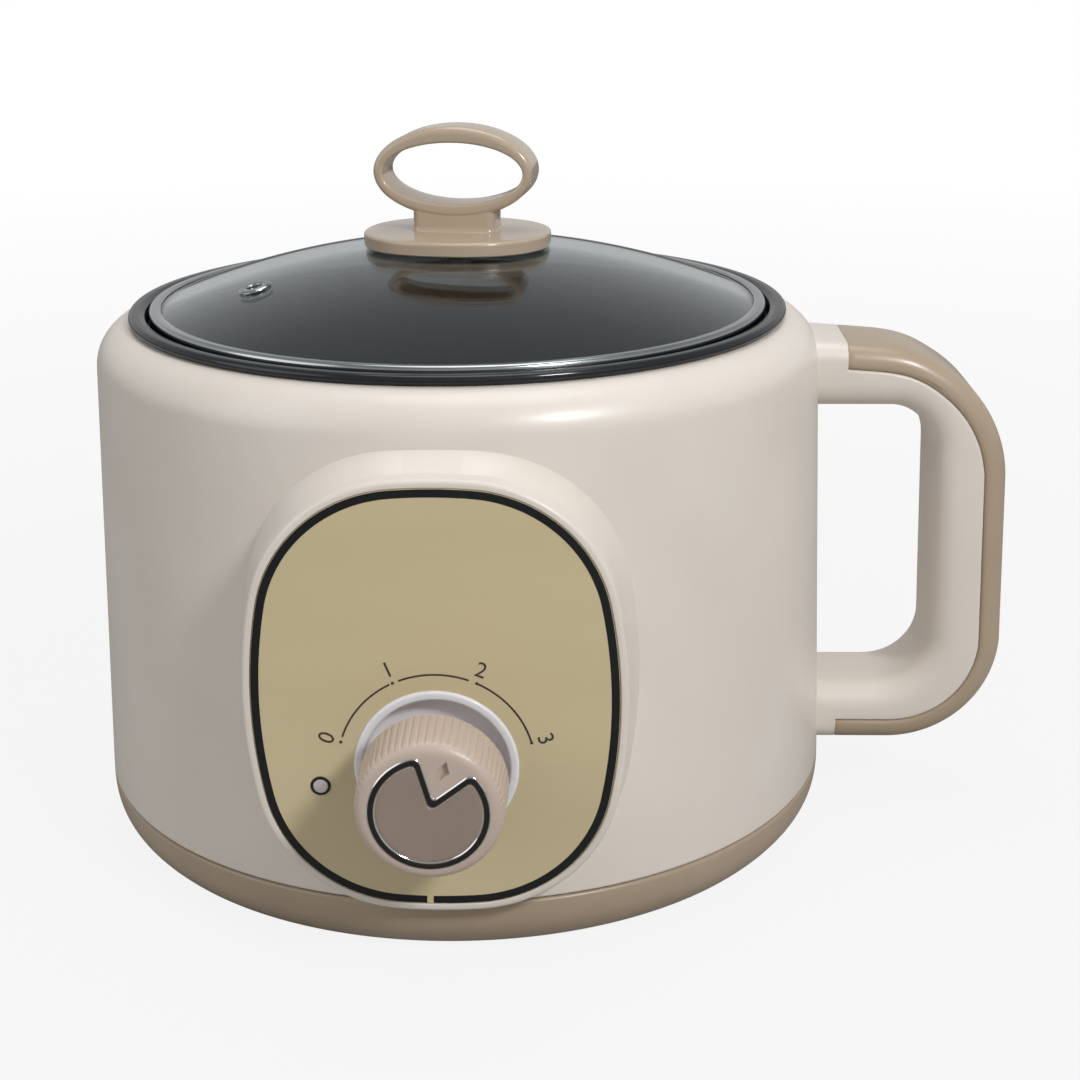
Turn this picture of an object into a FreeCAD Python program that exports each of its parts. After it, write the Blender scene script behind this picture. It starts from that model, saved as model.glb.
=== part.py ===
import FreeCAD, Part
import math
import os

# Electric hot pot with a lift-off glass lid. Millimetres, +Z up, front towards -Y, handle towards +X.
# The origin is on the pot's axis, at the level of the table.

V = FreeCAD.Vector
UP = V(0, 0, 1)

# Gaps between pieces that fit into one another
fit = 0.15
running_gap = 0.1
lid_gap = 0.3

# Feet and base tray
foot_height = 2.5
foot_radius = 8.0
foot_inset = 20.0
tray_floor = 2.5
tray_wall = 2.6
tray_height = 14.4
tray_inset = 5.5
tray_bulge = 1.6
seam_gap = 0.3
vent_length = 20.0
vent_width = 3.0
vent_circle = 52.0
vent_count = 8

# Outer shell
shell_foot_radius = 110.5
shell_taper = 5.2
shell_height = 136.3
shell_wall = 2.5
shoulder_radius = 12.0

# Screw posts inside the shell and the screws from below
post_count = 4
post_angle = 20.0
post_inset = 11.0
post_radius = 5.6
post_clearance = 3.3
well_height = 8.5
well_wall = 2.0
hidden_sides = 32
screw_head_radius = 3.3
screw_head_height = 2.0
screw_radius = 1.5
screw_length = 12.0

# Cooking pot
rim_radius = 96.0
rim_thickness = 2.8
rim_step_radius = 91.2
lid_seat_depth = 4.7
pot_wall = 2.0
pot_mouth_radius = 86.0
pot_depth = 105.0
pot_corner_radius = 12.0

# Heater under the pot
heater_radius = 62.0
heater_thickness = 8.0
bead_circle = 46.0
bead_width = 12.0
bead_height = 4.0
bead_sides = 24
terminal_radius = 3.0
terminal_length = 7.0
terminal_angle = 18.0
thermostat_radius = 8.0
thermostat_height = 7.0
strap_thickness = 1.0
strap_width = 12.0
strap_foot = 9.0
clip_screw_length = 5.0
fuse_radius = 2.2
fuse_length = 14.0
fuse_offset = 24.0
pot_strap_sheet = 1.5
pot_strap_width = 14.0
strap_drop = 9.0
strap_reach = 8.0
stud_circle = 70.0
stud_radius = 2.0
nut_radius = 4.0
nut_height = 3.2

# Glass lid
lid_edge_radius = 89.0
dome_radius = 237.0
glass_thickness = 3.5
band_wall = 1.0
band_lip = 2.4
band_lip_thickness = 0.6
vent_x = -55.2
vent_y = -29.1
eyelet_radius = 5.3
eyelet_bore = 2.2
eyelet_wall = 0.8
eyelet_flange = 0.8
dome_rise = 17.2

# Lid knob: an oval foot plate, a stem and an elliptical loop
plate_length = 54.5
plate_depth = 49.0
plate_thickness = 3.8
stem_width = 25.4
stem_depth = 15.0
stem_height = 4.3
loop_width = 46.5
loop_height = 26.0
loop_depth = 14.0
loop_side = 2.6
loop_end = 3.5
lid_knob_turn = -8.0
lid_screw_radius = 2.0
washer_radius = 9.0
washer_thickness = 1.0
gasket_thickness = 1.2

# Control panel on its raised boss
panel_proud = 5.5
panel_height = 76.8
panel_half_width = 46.5
panel_half_height = 56.6
panel_side_arc = 136.0
panel_end_arc = 133.0
panel_corner_arc = 37.3
panel_rim = 2.3
panel_rim_round = 1.2
panel_thickness = 1.5
panel_recess = 0.3
ledge_width = 6.0
ledge_thickness = 2.0
boss_depth = 28.0
boss_draft = 3.0

# Dial knob, its cup and the switch behind
dial_height = 59.5
dial_turn = -18.5
cup_lip_radius = 21.0
cup_radius = 20.0
cup_inner_radius = 18.9
cup_lip_proud = 0.8
cup_depth = 4.0
cup_floor = 2.0
knob_radius = 18.8
knob_gap = 9.3
knob_length = 16.5
knob_round = 2.2
rib_count = 36
rib_groove_width = 0.8
rib_groove_depth = 0.45
hub_radius = 9.5
hub_foot_gap = 0.4
ring_radius = 15.25
ring_width = 2.3
ring_depth = 1.6
ring_proud = 0.5
ring_corner = 1.6
notch_apex = 4.1
notch_half_angle = 34.2
insert_sink = 0.3
diamond_radius = 12.1
diamond_length = 5.0
diamond_width = 2.8
diamond_depth = 0.7
switch_width = 26.0
switch_tall = 28.0
switch_depth = 15.0
bush_radius = 5.0
bush_length = 3.4
switch_nut_flats = 14.0
switch_nut_height = 2.4
shaft_radius = 3.0
shaft_flat = 0.8
shaft_reach = 13.0
tab_length = 4.0

# Pilot lamp
lamp_x = -29.8
lamp_height = 54.0
lamp_ring_radius = 2.6
lamp_lens_radius = 1.9
lamp_proud = 0.4
lamp_sleeve = 6.0
bulb_radius = 2.2
bulb_length = 9.0

# Handle
handle_stand = 53.3
handle_top_drop = 8.8
handle_foot_rise = 3.9
handle_width = 34.0
grip_depth = 21.6
top_arm_height = 18.0
bottom_arm_height = 18.3
handle_top_corner = 40.0
handle_bottom_corner = 33.0
grip_top_corner = 14.0
grip_bottom_corner = 16.0
handle_outer_round = 4.0
handle_inner_round = 8.0
bevel_share = 0.6
cover_thickness = 7.0
cover_gap_top = 2.8
cover_gap_bottom = 4.1
cover_seam_round = 2.0
handle_screw_spread = 9.0

# Power inlet at the back
inlet_height = 33.0
pad_proud = 0.5
pad_width = 56.0
pad_tall = 28.0
pad_round = 4.0
flange_width = 50.0
flange_tall = 23.0
flange_thickness = 3.0
inlet_width = 27.5
inlet_tall = 20.0
inlet_depth = 18.0
socket_width = 24.5
socket_tall = 17.0
socket_depth = 15.0
pin_sink = 5.0
pin_width = 2.0
pin_tall = 4.0
pin_spacing = 7.0
side_pin_drop = 1.5
earth_pin_rise = 2.5
inlet_screw_spread = 20.0
inlet_screw_length = 10.0

# Wiring on the tray
block_length = 30.0
block_width = 16.0
block_tall = 12.0
block_y = 30.0
lead_width = 7.0
lead_thickness = 2.6
lead_bend = 5.0

# Levels and radii that follow from the sizes above
shell_top_radius = shell_foot_radius - shell_taper
panel_plane = shell_foot_radius + panel_proud
inlet_plane = shell_foot_radius + pad_proud
handle_reach = shell_foot_radius + handle_stand
cover_start_top = shell_foot_radius + cover_gap_top
cover_start_bottom = shell_foot_radius + cover_gap_bottom
tray_bottom_radius = shell_foot_radius - tray_inset
post_circle = tray_bottom_radius - post_inset
foot_circle = tray_bottom_radius - foot_inset
tray_top = foot_height + tray_height
shell_bottom = tray_top + seam_gap
shell_top = shell_bottom + shell_height
floor_top = foot_height + tray_floor
well_top = foot_height + well_height
rim_top = shell_top + rim_thickness
seat_level = rim_top - lid_seat_depth
step_outer_radius = rim_step_radius + pot_wall * 1.5
mouth_radius = step_outer_radius + fit
pot_floor_level = rim_top - pot_depth
pot_underside = pot_floor_level - pot_wall
heater_bottom = pot_underside - heater_thickness
post_top = heater_bottom - post_clearance
strap_crown = post_top - strap_drop
band_bottom = seat_level + lid_gap
dome_apex = band_bottom + band_lip_thickness + glass_thickness + dome_rise
dome_centre = dome_apex - dome_radius
plate_top = dome_apex + plate_thickness
loop_centre = plate_top + stem_height + loop_height / 2
panel_face = panel_plane - panel_recess
handle_top = shell_top - handle_top_drop
handle_bottom = shell_bottom + handle_foot_rise
grip_inner_x = handle_reach - grip_depth
grip_top = handle_top - top_arm_height
grip_bottom = handle_bottom + bottom_arm_height
flange_face = inlet_plane + flange_thickness


def turned(shape, angle, centre=V(0, 0, 0)):
    """A copy of the shape turned about a vertical line."""
    copy = shape.copy()
    copy.rotate(centre, UP, angle)
    return copy


def moved(shape, x, y, z):
    """A copy of the shape moved by x, y and z."""
    copy = shape.copy()
    copy.translate(V(x, y, z))
    return copy


def around(shape, count, first=0.0):
    """Copies of the shape spread evenly about the pot's axis."""
    return [turned(shape, first + i * 360.0 / count) for i in range(count)]


def on_circle(radius, count, first):
    """Points spread evenly on a circle about the pot's axis."""
    angles = [math.radians(first + i * 360.0 / count) for i in range(count)]
    return [(radius * math.cos(a), radius * math.sin(a)) for a in angles]


def in_side_view(a, b):
    return V(a, 0, b)


def in_plan(a, b):
    return V(a, b, 0)


def in_section(a, b):
    return V(0, a, b)


def rounded_wire(corners, place):
    """A closed outline through corners (a, b, radius), each rounded by a tangent arc."""
    starts = []
    count = len(corners)
    for i, (a, b, radius) in enumerate(corners):
        pa, pb, _ = corners[i - 1]
        na, nb, _ = corners[(i + 1) % count]
        back = math.hypot(pa - a, pb - b)
        ahead = math.hypot(na - a, nb - b)
        ub = ((pa - a) / back, (pb - b) / back)
        ua = ((na - a) / ahead, (nb - b) / ahead)
        if radius <= 0:
            starts.append(((a, b), None, (a, b)))
            continue
        half = math.acos(ub[0] * ua[0] + ub[1] * ua[1]) / 2
        reach = radius / math.tan(half)
        middle = radius / math.sin(half) - radius
        length = math.hypot(ub[0] + ua[0], ub[1] + ua[1])
        bis = ((ub[0] + ua[0]) / length, (ub[1] + ua[1]) / length)
        start = (a + ub[0] * reach, b + ub[1] * reach)
        end = (a + ua[0] * reach, b + ua[1] * reach)
        starts.append((start, (a + bis[0] * middle, b + bis[1] * middle), end))
    edges = []
    for i, (start, middle, end) in enumerate(starts):
        if middle:
            edges.append(Part.Arc(place(*start), place(*middle), place(*end)).toShape())
        following = starts[(i + 1) % count][0]
        if math.hypot(following[0] - end[0], following[1] - end[1]) > 1e-6:
            edges.append(Part.makeLine(place(*end), place(*following)))
    return Part.Wire(edges)


def sharp(points):
    """Corners with no rounding."""
    return [(a, b, 0) for a, b in points]


def chorded(corners, bands):
    """The same corners with each rounding drawn as short chords of its tangent arc."""
    points = []
    count = len(corners)
    for i, (a, b, radius) in enumerate(corners):
        if radius <= 0:
            points.append((a, b))
            continue
        back = math.atan2(corners[i - 1][1] - b, corners[i - 1][0] - a)
        ahead = math.atan2(corners[(i + 1) % count][1] - b, corners[(i + 1) % count][0] - a)
        half = ((ahead - back + math.pi) % (2 * math.pi) - math.pi) / 2
        centre_way = back + half
        reach = radius / abs(math.sin(half))
        ca, cb = a + reach * math.cos(centre_way), b + reach * math.sin(centre_way)
        spread = (math.pi / 2 - abs(half)) * math.copysign(1, half)
        for k in range(bands + 1):
            way = centre_way + math.pi + spread * (1 - 2 * k / bands)
            points.append((ca + radius * math.cos(way), cb + radius * math.sin(way)))
    return points


def revolved(corners, bands=1):
    """A solid of revolution about the pot's axis from corners (radius, height, rounding)."""
    face = Part.Face(rounded_wire(sharp(chorded(corners, bands)), in_side_view))
    return face.revolve(V(0, 0, 0), UP, 360)


def extruded(corners, place, start, end):
    """A prism over a rounded outline, from start to end along its plane's normal."""
    normal = place(1, 0).cross(place(0, 1))
    normal.normalize()
    wire = rounded_wire(corners, place)
    wire.translate(normal * start)
    return Part.Face(wire).extrude(normal * (end - start))


def cylinder(radius, bottom, top, x=0.0, y=0.0):
    return Part.makeCylinder(radius, top - bottom, V(x, y, bottom))


def box(low, high):
    size = high - low
    return Part.makeBox(size.x, size.y, size.z, low)


def joined(shapes):
    """One solid out of pieces that touch."""
    whole = shapes[0].fuse(shapes[1:]) if len(shapes) > 1 else shapes[0]
    return whole.removeSplitter()


def group(shapes):
    """Separate solids kept in one node."""
    return Part.makeCompound(shapes)


def to_dial(shape, x=0.0, height=dial_height):
    """Lays a shape built upright on the panel: its +Z becomes the way out of the panel's face."""
    laid = shape.copy()
    laid.rotate(V(0, 0, 0), V(1, 0, 0), 90)
    laid.translate(V(x, -panel_face, height))
    return laid


def prism(sides, radius, bottom, top, x=0.0, y=0.0):
    """An upright prism whose corners lie on a circle."""
    angles = [2 * math.pi * i / sides for i in range(sides + 1)]
    points = [V(x + radius * math.cos(a), y + radius * math.sin(a), bottom) for a in angles]
    return Part.Face(Part.makePolygon(points)).extrude(V(0, 0, top - bottom))


def tapered_prism(sides, low_radius, bottom, high_radius, top):
    """A prism whose corners lie on a cone about the pot's axis."""
    angles = [2 * math.pi * i / sides for i in range(sides)]
    low = [V(low_radius * math.cos(a), low_radius * math.sin(a), bottom) for a in angles]
    high = [V(high_radius * math.cos(a), high_radius * math.sin(a), top) for a in angles]
    faces = [Part.Face(Part.makePolygon(rim + rim[:1])) for rim in (low, high)]
    for i in range(sides):
        j = (i + 1) % sides
        faces.append(Part.Face(Part.makePolygon([low[i], low[j], high[j], high[i], low[i]])))
    solid = Part.makeSolid(Part.makeShell(faces))
    if solid.Volume < 0:
        solid.reverse()
    return solid


def hexagon(flats, bottom, top):
    """A hexagonal prism on the Z axis."""
    return prism(6, flats / math.sqrt(3), bottom, top)


def screw(length, up=True):
    """A hexagon-head screw whose head rests at the origin, with its shank along +Z or -Z."""
    if up:
        return joined([prism(8, screw_radius, 0, length), prism(6, screw_head_radius, -screw_head_height, 0)])
    return joined([prism(8, screw_radius, -length, 0), prism(6, screw_head_radius, 0, screw_head_height)])


def screw_hole(bottom, top, x=0.0, y=0.0):
    return prism(8, screw_radius + fit, bottom, top, x, y)


# Base

def base_tray():
    """The lower housing: floor, bulged wall with a flat top, wells for the screws and vents."""
    outline = [
        (0, foot_height, 0),
        (tray_bottom_radius, foot_height, 0),
        ((tray_bottom_radius + shell_foot_radius) / 2 + tray_bulge, foot_height + tray_height * 0.42, 0),
        (shell_foot_radius, tray_top, 0),
        (0, tray_top, 0),
    ]
    hollow = tapered_prism(hidden_sides, tray_bottom_radius - tray_wall, floor_top,
                           shell_foot_radius - 2 * tray_wall, tray_top + seam_gap)
    wells = []
    drills = []
    for x, y in on_circle(post_circle, post_count, post_angle):
        wells.append(prism(8, post_radius, floor_top, well_top, x, y))
        drills.append(prism(8, screw_head_radius + fit, foot_height - 1, well_top - well_wall, x, y))
        drills.append(screw_hole(foot_height, well_top + 1, x, y))
    slot = box(V(vent_circle - vent_length / 2, -vent_width / 2, 0),
               V(vent_circle + vent_length / 2, vent_width / 2, floor_top + tray_floor))
    tray = joined([revolved(outline).cut(hollow)] + wells)
    return tray.cut(drills + around(slot, vent_count))


def rubber_feet():
    return group([prism(16, foot_radius, 0, foot_height, x, y) for x, y in on_circle(foot_circle, 4, 45)])


def base_screws():
    head_level = well_top - well_wall
    return group([moved(screw(screw_length), x, y, head_level)
                  for x, y in on_circle(post_circle, post_count, post_angle)])


# Shell with the boss that carries the panel

def panel_wire(grow, y):
    """The panel's outline grown outwards by grow: eight arcs that meet tangentially, about fixed centres."""
    side_x = panel_half_width - panel_side_arc
    end_z = panel_half_height - panel_end_arc
    side_reach = panel_side_arc - panel_corner_arc
    end_reach = panel_end_arc - panel_corner_arc
    apart = math.hypot(side_x, end_z)
    along = (side_reach ** 2 - end_reach ** 2 + apart ** 2) / (2 * apart)
    across = math.sqrt(side_reach ** 2 - along ** 2)
    ux, uz = -side_x / apart, end_z / apart
    corner_x = side_x + ux * along - uz * across
    corner_z = uz * along + ux * across
    low = math.degrees(math.atan2(corner_z, corner_x - side_x))
    high = math.degrees(math.atan2(corner_z - end_z, corner_x))
    arcs = [
        (side_x, 0, panel_side_arc, -low, low),
        (corner_x, corner_z, panel_corner_arc, low, high),
        (0, end_z, panel_end_arc, high, 180 - high),
        (-corner_x, corner_z, panel_corner_arc, 180 - high, 180 - low),
        (-side_x, 0, panel_side_arc, 180 - low, 180 + low),
        (-corner_x, -corner_z, panel_corner_arc, 180 + low, 180 + high),
        (0, -end_z, panel_end_arc, 180 + high, 360 - high),
        (corner_x, -corner_z, panel_corner_arc, 360 - high, 360 - low),
    ]
    edges = []
    for cx, cz, radius, first, last in arcs:
        ends = [math.radians(a) for a in (first, (first + last) / 2, last)]
        reach = radius + grow
        points = [V(cx + reach * math.cos(a), y, panel_height + cz + reach * math.sin(a)) for a in ends]
        edges.append(Part.Arc(*points).toShape())
    return Part.Wire(edges)


def panel_prism(grow, front, back):
    """A prism over the panel's outline between two planes in front of the axis."""
    return Part.Face(panel_wire(grow, -front)).extrude(V(0, front - back, 0))


def boss():
    """The raised boss: tapered sides, an eased front edge, and nothing below the shell's seam."""
    flare = boss_depth * math.tan(math.radians(boss_draft))
    step = panel_rim_round * 0.6
    levels = [(panel_rim - step, 0), (panel_rim, step), (panel_rim + flare, boss_depth)]
    parts = []
    for (near, front), (far, back) in zip(levels, levels[1:]):
        wires = [panel_wire(near, front - panel_plane), panel_wire(far, back - panel_plane)]
        parts.append(Part.makeLoft(wires, True, True))
    reach = panel_half_height * 3
    keep = box(V(-reach, -panel_plane - 5, shell_bottom), V(reach, 0, shell_bottom + reach))
    return joined(parts).common(keep)


def shell_body():
    """The shell's outer form: a tapered wall and a rounded shoulder."""
    top = (shell_top_radius, shell_top, shoulder_radius)
    return revolved([(0, shell_bottom, 0), (shell_foot_radius, shell_bottom, 0), top, (0, shell_top, 0)], 3)


def shell_hollow():
    """The space inside the shell, many-sided because it is out of sight."""
    rise = shoulder_radius - shell_wall
    knee = shell_top - shell_wall - rise
    low = tapered_prism(hidden_sides, wall_radius(shell_bottom - 1) - shell_wall, shell_bottom - 1,
                        wall_radius(knee) - shell_wall, knee)
    high = tapered_prism(hidden_sides, wall_radius(knee) - shell_wall, knee,
                         wall_radius(knee) - shell_wall - rise, shell_top - shell_wall)
    return joined([low, high])


def wall_radius(height):
    """Outer radius of the shell's straight wall at a height."""
    slope = (shell_foot_radius - shell_top_radius) / shell_height
    return shell_foot_radius - slope * (height - shell_bottom)


def outer_shell():
    """The cream housing with the panel boss, inlet pad, screw posts and all their openings."""
    low, high = inlet_height - pad_tall / 2, inlet_height + pad_tall / 2
    pad = extruded([(-pad_width / 2, low, pad_round), (pad_width / 2, low, pad_round),
                    (pad_width / 2, high, pad_round), (-pad_width / 2, high, pad_round)],
                   in_side_view, -inlet_plane, -inlet_plane + boss_depth)
    outside = joined([shell_body(), boss(), pad])
    recess = panel_thickness + panel_recess
    hollow = outside.cut([
        shell_hollow(),
        cylinder(mouth_radius, shell_top - 6, shell_top + 6),
        panel_prism(fit, panel_plane + 5, panel_plane - recess),
        panel_pocket(),
    ])
    posts = []
    drills = []
    for i, (x, y) in enumerate(on_circle(post_circle, post_count, post_angle)):
        posts.append(prism(8, post_radius, well_top, post_top, x, y))
        rib_end = wall_radius(post_top) - shell_wall / 2
        rib = box(V(post_circle, -shell_wall / 2, shell_bottom), V(rib_end, shell_wall / 2, post_top))
        posts.append(turned(rib, post_angle + i * 360.0 / post_count))
        drills.append(screw_hole(well_top - 1, post_top + 1, x, y))
    drills += handle_screw_holes()
    drills.append(box(
        V(-inlet_width / 2 - fit, inlet_plane - inlet_depth * 1.5, inlet_height - inlet_tall / 2 - fit),
        V(inlet_width / 2 + fit, inlet_plane + inlet_depth, inlet_height + inlet_tall / 2 + fit),
    ))
    drills += inlet_screw_holes()
    return joined([hollow] + posts).cut(drills)


def hidden_prism(grow, front, back):
    """The panel's outline as straight chords, for the space behind the panel."""
    points = panel_wire(grow, -front).discretize(Number=hidden_sides + 1)
    return Part.Face(Part.makePolygon(points)).extrude(V(0, front - back, 0))


def panel_pocket():
    """The boss' inside: open towards the shell, with a ledge behind the panel's edge."""
    ledge_back = panel_plane - panel_recess - panel_thickness - ledge_thickness
    through = hidden_prism(-ledge_width, panel_plane, ledge_back - 1)
    behind = hidden_prism(panel_rim - shell_wall, ledge_back, panel_plane - boss_depth)
    return joined([through, behind])


def inlet_screw_holes():
    """Two holes along Y through the pad and the inlet's flange."""
    hole = screw_hole(0, inlet_depth * 2)
    hole.rotate(V(0, 0, 0), V(1, 0, 0), -90)
    start = inlet_plane - inlet_depth * 1.2
    return [moved(hole, side * inlet_screw_spread, start, inlet_height) for side in (-1, 1)]


# Handle

def handle_levels():
    """Heights of the middles of the two arms."""
    return (handle_bottom + grip_bottom) / 2, (handle_top + grip_top) / 2


def handle_screw_places():
    """Middles of the handle's screws where they leave the shell's wall."""
    places = []
    for height in handle_levels():
        flat = (wall_radius(height + screw_head_radius) - shell_wall) * math.cos(math.pi / hidden_sides)
        offset = flat - math.sqrt(flat ** 2 - (handle_screw_spread + screw_head_radius) ** 2)
        places += [(flat - offset - fit, side * handle_screw_spread, height) for side in (-1, 1)]
    return places


def handle_screw_holes():
    hole = screw_hole(-1, screw_length + 1)
    hole.rotate(V(0, 0, 0), V(0, 1, 0), 90)
    return [moved(hole, x, y, z) for x, y, z in handle_screw_places()]


def handle_form():
    """The whole handle as one solid: a D-shaped loop with rounded edges, seated on the shell's wall."""
    root = shell_top_radius - shell_wall * 2
    half = handle_width / 2
    outer = [
        (root, handle_bottom, 0),
        (handle_reach, handle_bottom, handle_bottom_corner),
        (handle_reach, handle_top, handle_top_corner),
        (root, handle_top, 0),
    ]
    grip = [
        (root - 1, grip_bottom, 0),
        (grip_inner_x, grip_bottom, grip_bottom_corner),
        (grip_inner_x, grip_top, grip_top_corner),
        (root - 1, grip_top, 0),
    ]
    loop = extruded(outer, in_side_view, -half, half).cut(extruded(grip, in_side_view, -half - 1, half + 1))
    outside = []
    inside = []
    for edge in loop.Edges:
        bounds = edge.BoundBox
        if abs(abs(bounds.YMin) - half) > 0.01 or bounds.YLength > 0.01 or bounds.XMax < root + 0.5:
            continue
        in_height = bounds.ZMin > grip_bottom - 0.1 and bounds.ZMax < grip_top + 0.1
        in_grip = in_height and bounds.XMax < grip_inner_x + 0.1
        (inside if in_grip else outside).append(edge)
    loop = loop.makeChamfer(handle_outer_round * bevel_share, outside)
    inside = [e for e in loop.Edges if any(same_edge(e, other) for other in inside)]
    return loop.makeChamfer(handle_inner_round * bevel_share, inside).cut(shell_body())


def same_edge(one, other):
    """True where two edges share their middle point and length."""
    a = one.valueAt((one.FirstParameter + one.LastParameter) / 2)
    b = other.valueAt((other.FirstParameter + other.LastParameter) / 2)
    return a.distanceToPoint(b) < 0.01 and abs(one.Length - other.Length) < 0.01


def cover_region():
    """The space outside the seam, where the handle's cover lies."""
    seam_x = handle_reach - cover_thickness
    seam_top = handle_top - cover_thickness
    seam_bottom = handle_bottom + cover_thickness
    beyond = cover_thickness * 2
    corners = [
        (cover_start_top, handle_top + beyond, 0),
        (cover_start_top, seam_top, cover_seam_round),
        (seam_x, seam_top, handle_top_corner - cover_thickness),
        (seam_x, seam_bottom, handle_bottom_corner - cover_thickness),
        (cover_start_bottom, seam_bottom, cover_seam_round),
        (cover_start_bottom, handle_bottom - beyond, 0),
        (handle_reach + beyond, handle_bottom - beyond, 0),
        (handle_reach + beyond, handle_top + beyond, 0),
    ]
    return extruded(corners, in_side_view, -handle_width, handle_width)


def handle_pieces():
    form = handle_form()
    region = cover_region()
    return form.cut([region] + handle_screw_holes()), form.common(region)


def handle_screws():
    laid = screw(screw_length)
    laid.rotate(V(0, 0, 0), V(0, 1, 0), 90)
    return group([moved(laid, x, y, z) for x, y, z in handle_screw_places()])


# Cooking pot

def inner_pot():
    """The black pot: a flat rim, a step that carries the lid, and an outside that is many-sided below the rim."""
    under_rim = rim_top - rim_thickness
    wall = pot_mouth_radius + pot_wall
    flare = under_rim - (step_outer_radius - wall) * 1.4
    corner = pot_corner_radius
    flange = cylinder(rim_radius, under_rim, rim_top)
    neck = tapered_prism(hidden_sides, wall, flare, step_outer_radius, under_rim)
    body = prism(hidden_sides, wall, pot_underside + corner, flare)
    foot = tapered_prism(hidden_sides, wall - corner, pot_underside, wall, pot_underside + corner)
    inside = revolved([
        (0, pot_floor_level, 0),
        (pot_mouth_radius, pot_floor_level, corner),
        (pot_mouth_radius, seat_level, 0),
        (rim_step_radius, seat_level, 0),
        (rim_step_radius, rim_top + 1, 0),
        (0, rim_top + 1, 0),
    ])
    return joined([flange, neck, body, foot]).cut(inside)


# Heater and what hangs under the pot

def heater_plate():
    """A cast plate against the pot's floor, with the bead of its heating tube below."""
    half = bead_width / 2
    plate = prism(hidden_sides, heater_radius, heater_bottom, pot_underside)
    outer = prism(bead_sides, bead_circle + half, heater_bottom - bead_height, heater_bottom)
    inner = prism(bead_sides, bead_circle - half, heater_bottom - bead_height - 1, heater_bottom)
    holes = [screw_hole(heater_bottom - 1, heater_bottom + 5, x, 0) for x in (-clip_screw_x(), clip_screw_x())]
    return joined([plate, outer.cut(inner)]).cut(holes)


def heater_terminals():
    """The two cold ends of the heating tube, standing out of the bead."""
    pins = []
    for side in (-1, 1):
        angle = math.radians(-90 + side * terminal_angle)
        x, y = bead_circle * math.cos(angle), bead_circle * math.sin(angle)
        top = heater_bottom - bead_height
        pins.append(joined([
            prism(8, terminal_radius, top - terminal_length, top, x, y),
            prism(8, terminal_radius / 2, top - terminal_length * 1.5, top - terminal_length, x, y),
        ]))
    return group(pins)


def clip_screw_x():
    return thermostat_radius + strap_thickness + fit + strap_foot / 2


def thermostat():
    """A disc thermostat pressed against the plate, with two tabs."""
    tabs = [box(V(side * 4 - 0.4, -8 - tab_length, heater_bottom - 5), V(side * 4 + 0.4, -4, heater_bottom - 4))
            for side in (-1, 1)]
    return joined([prism(12, thermostat_radius, heater_bottom - thermostat_height, heater_bottom)] + tabs)


def thermostat_clip():
    """A bent strip that holds the thermostat up against the plate."""
    inner = thermostat_radius + fit
    clip = hat_strip(inner, inner + strap_thickness + strap_foot, heater_bottom - thermostat_height,
                     heater_bottom, strap_width, -strap_thickness)
    drills = [screw_hole(heater_bottom - clip_screw_length, heater_bottom + fit, side * clip_screw_x(), 0)
              for side in (-1, 1)]
    return clip.cut(drills)


def hat_strip(half_crown, half_length, crown, feet, width, thickness):
    """A strip bent like a hat, drawn by one face of its sheet: a crown at one level, two feet at another."""
    shift = abs(thickness) * (-1 if (crown < feet) == (thickness > 0) else 1)
    inner = half_crown + shift
    return extruded(sharp([
        (-half_length, feet), (-half_crown, feet), (-half_crown, crown), (half_crown, crown),
        (half_crown, feet), (half_length, feet), (half_length, feet + thickness), (inner, feet + thickness),
        (inner, crown + thickness), (-inner, crown + thickness), (-inner, feet + thickness),
        (-half_length, feet + thickness),
    ]), in_side_view, -width / 2, width / 2)


def clip_screws():
    level = heater_bottom - strap_thickness
    return group([moved(screw(clip_screw_length), side * clip_screw_x(), 0, level) for side in (-1, 1)])


def thermal_fuse():
    """A sleeved fuse that lies against the plate."""
    centre = heater_bottom - fuse_radius * math.cos(math.pi / 8)
    body = prism(8, fuse_radius, -fuse_length / 2, fuse_length / 2)
    lead = prism(8, fuse_radius / 3, -fuse_length, fuse_length)
    fuse = turned(joined([body, lead]), 180 / 8)
    fuse.rotate(V(0, 0, 0), V(0, 1, 0), 90)
    return moved(fuse, 0, fuse_offset, centre)


def pot_strap():
    """A bent steel strap across the shell, screwed to two posts, that the pot's studs pull down on."""
    strap = hat_strip(stud_circle + strap_reach, post_circle + post_radius, strap_crown, post_top,
                      pot_strap_width, pot_strap_sheet)
    holes = []
    for side in (-1, 1):
        holes.append(screw_hole(post_top - strap_drop, post_top + strap_drop, side * post_circle, 0))
        holes.append(prism(8, stud_radius + fit, strap_crown - strap_drop, strap_crown + strap_drop,
                           side * stud_circle, 0))
    return turned(strap.cut(holes), post_angle)


def strap_screws():
    tops = [moved(screw(screw_length / 2, up=False), side * post_circle, 0, post_top + pot_strap_sheet)
            for side in (-1, 1)]
    return turned(group(tops), post_angle)


def pot_studs():
    """Studs welded to the pot's underside."""
    low = strap_crown - nut_height - stud_radius
    return turned(group([prism(8, stud_radius, low, pot_underside, side * stud_circle, 0) for side in (-1, 1)]),
                  post_angle)


def stud_nuts():
    bore = prism(8, stud_radius + fit, strap_crown - nut_height * 2, strap_crown + nut_height)
    nut = prism(6, nut_radius, strap_crown - nut_height, strap_crown).cut(bore)
    return turned(group([moved(nut, side * stud_circle, 0, 0) for side in (-1, 1)]), post_angle)


# Lid

def dome_level(radius, depth=0.0):
    """Height of the glass's outer surface, or of one depth below it, at a distance from the axis."""
    return dome_centre + math.sqrt((dome_radius - depth) ** 2 - radius ** 2)


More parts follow.
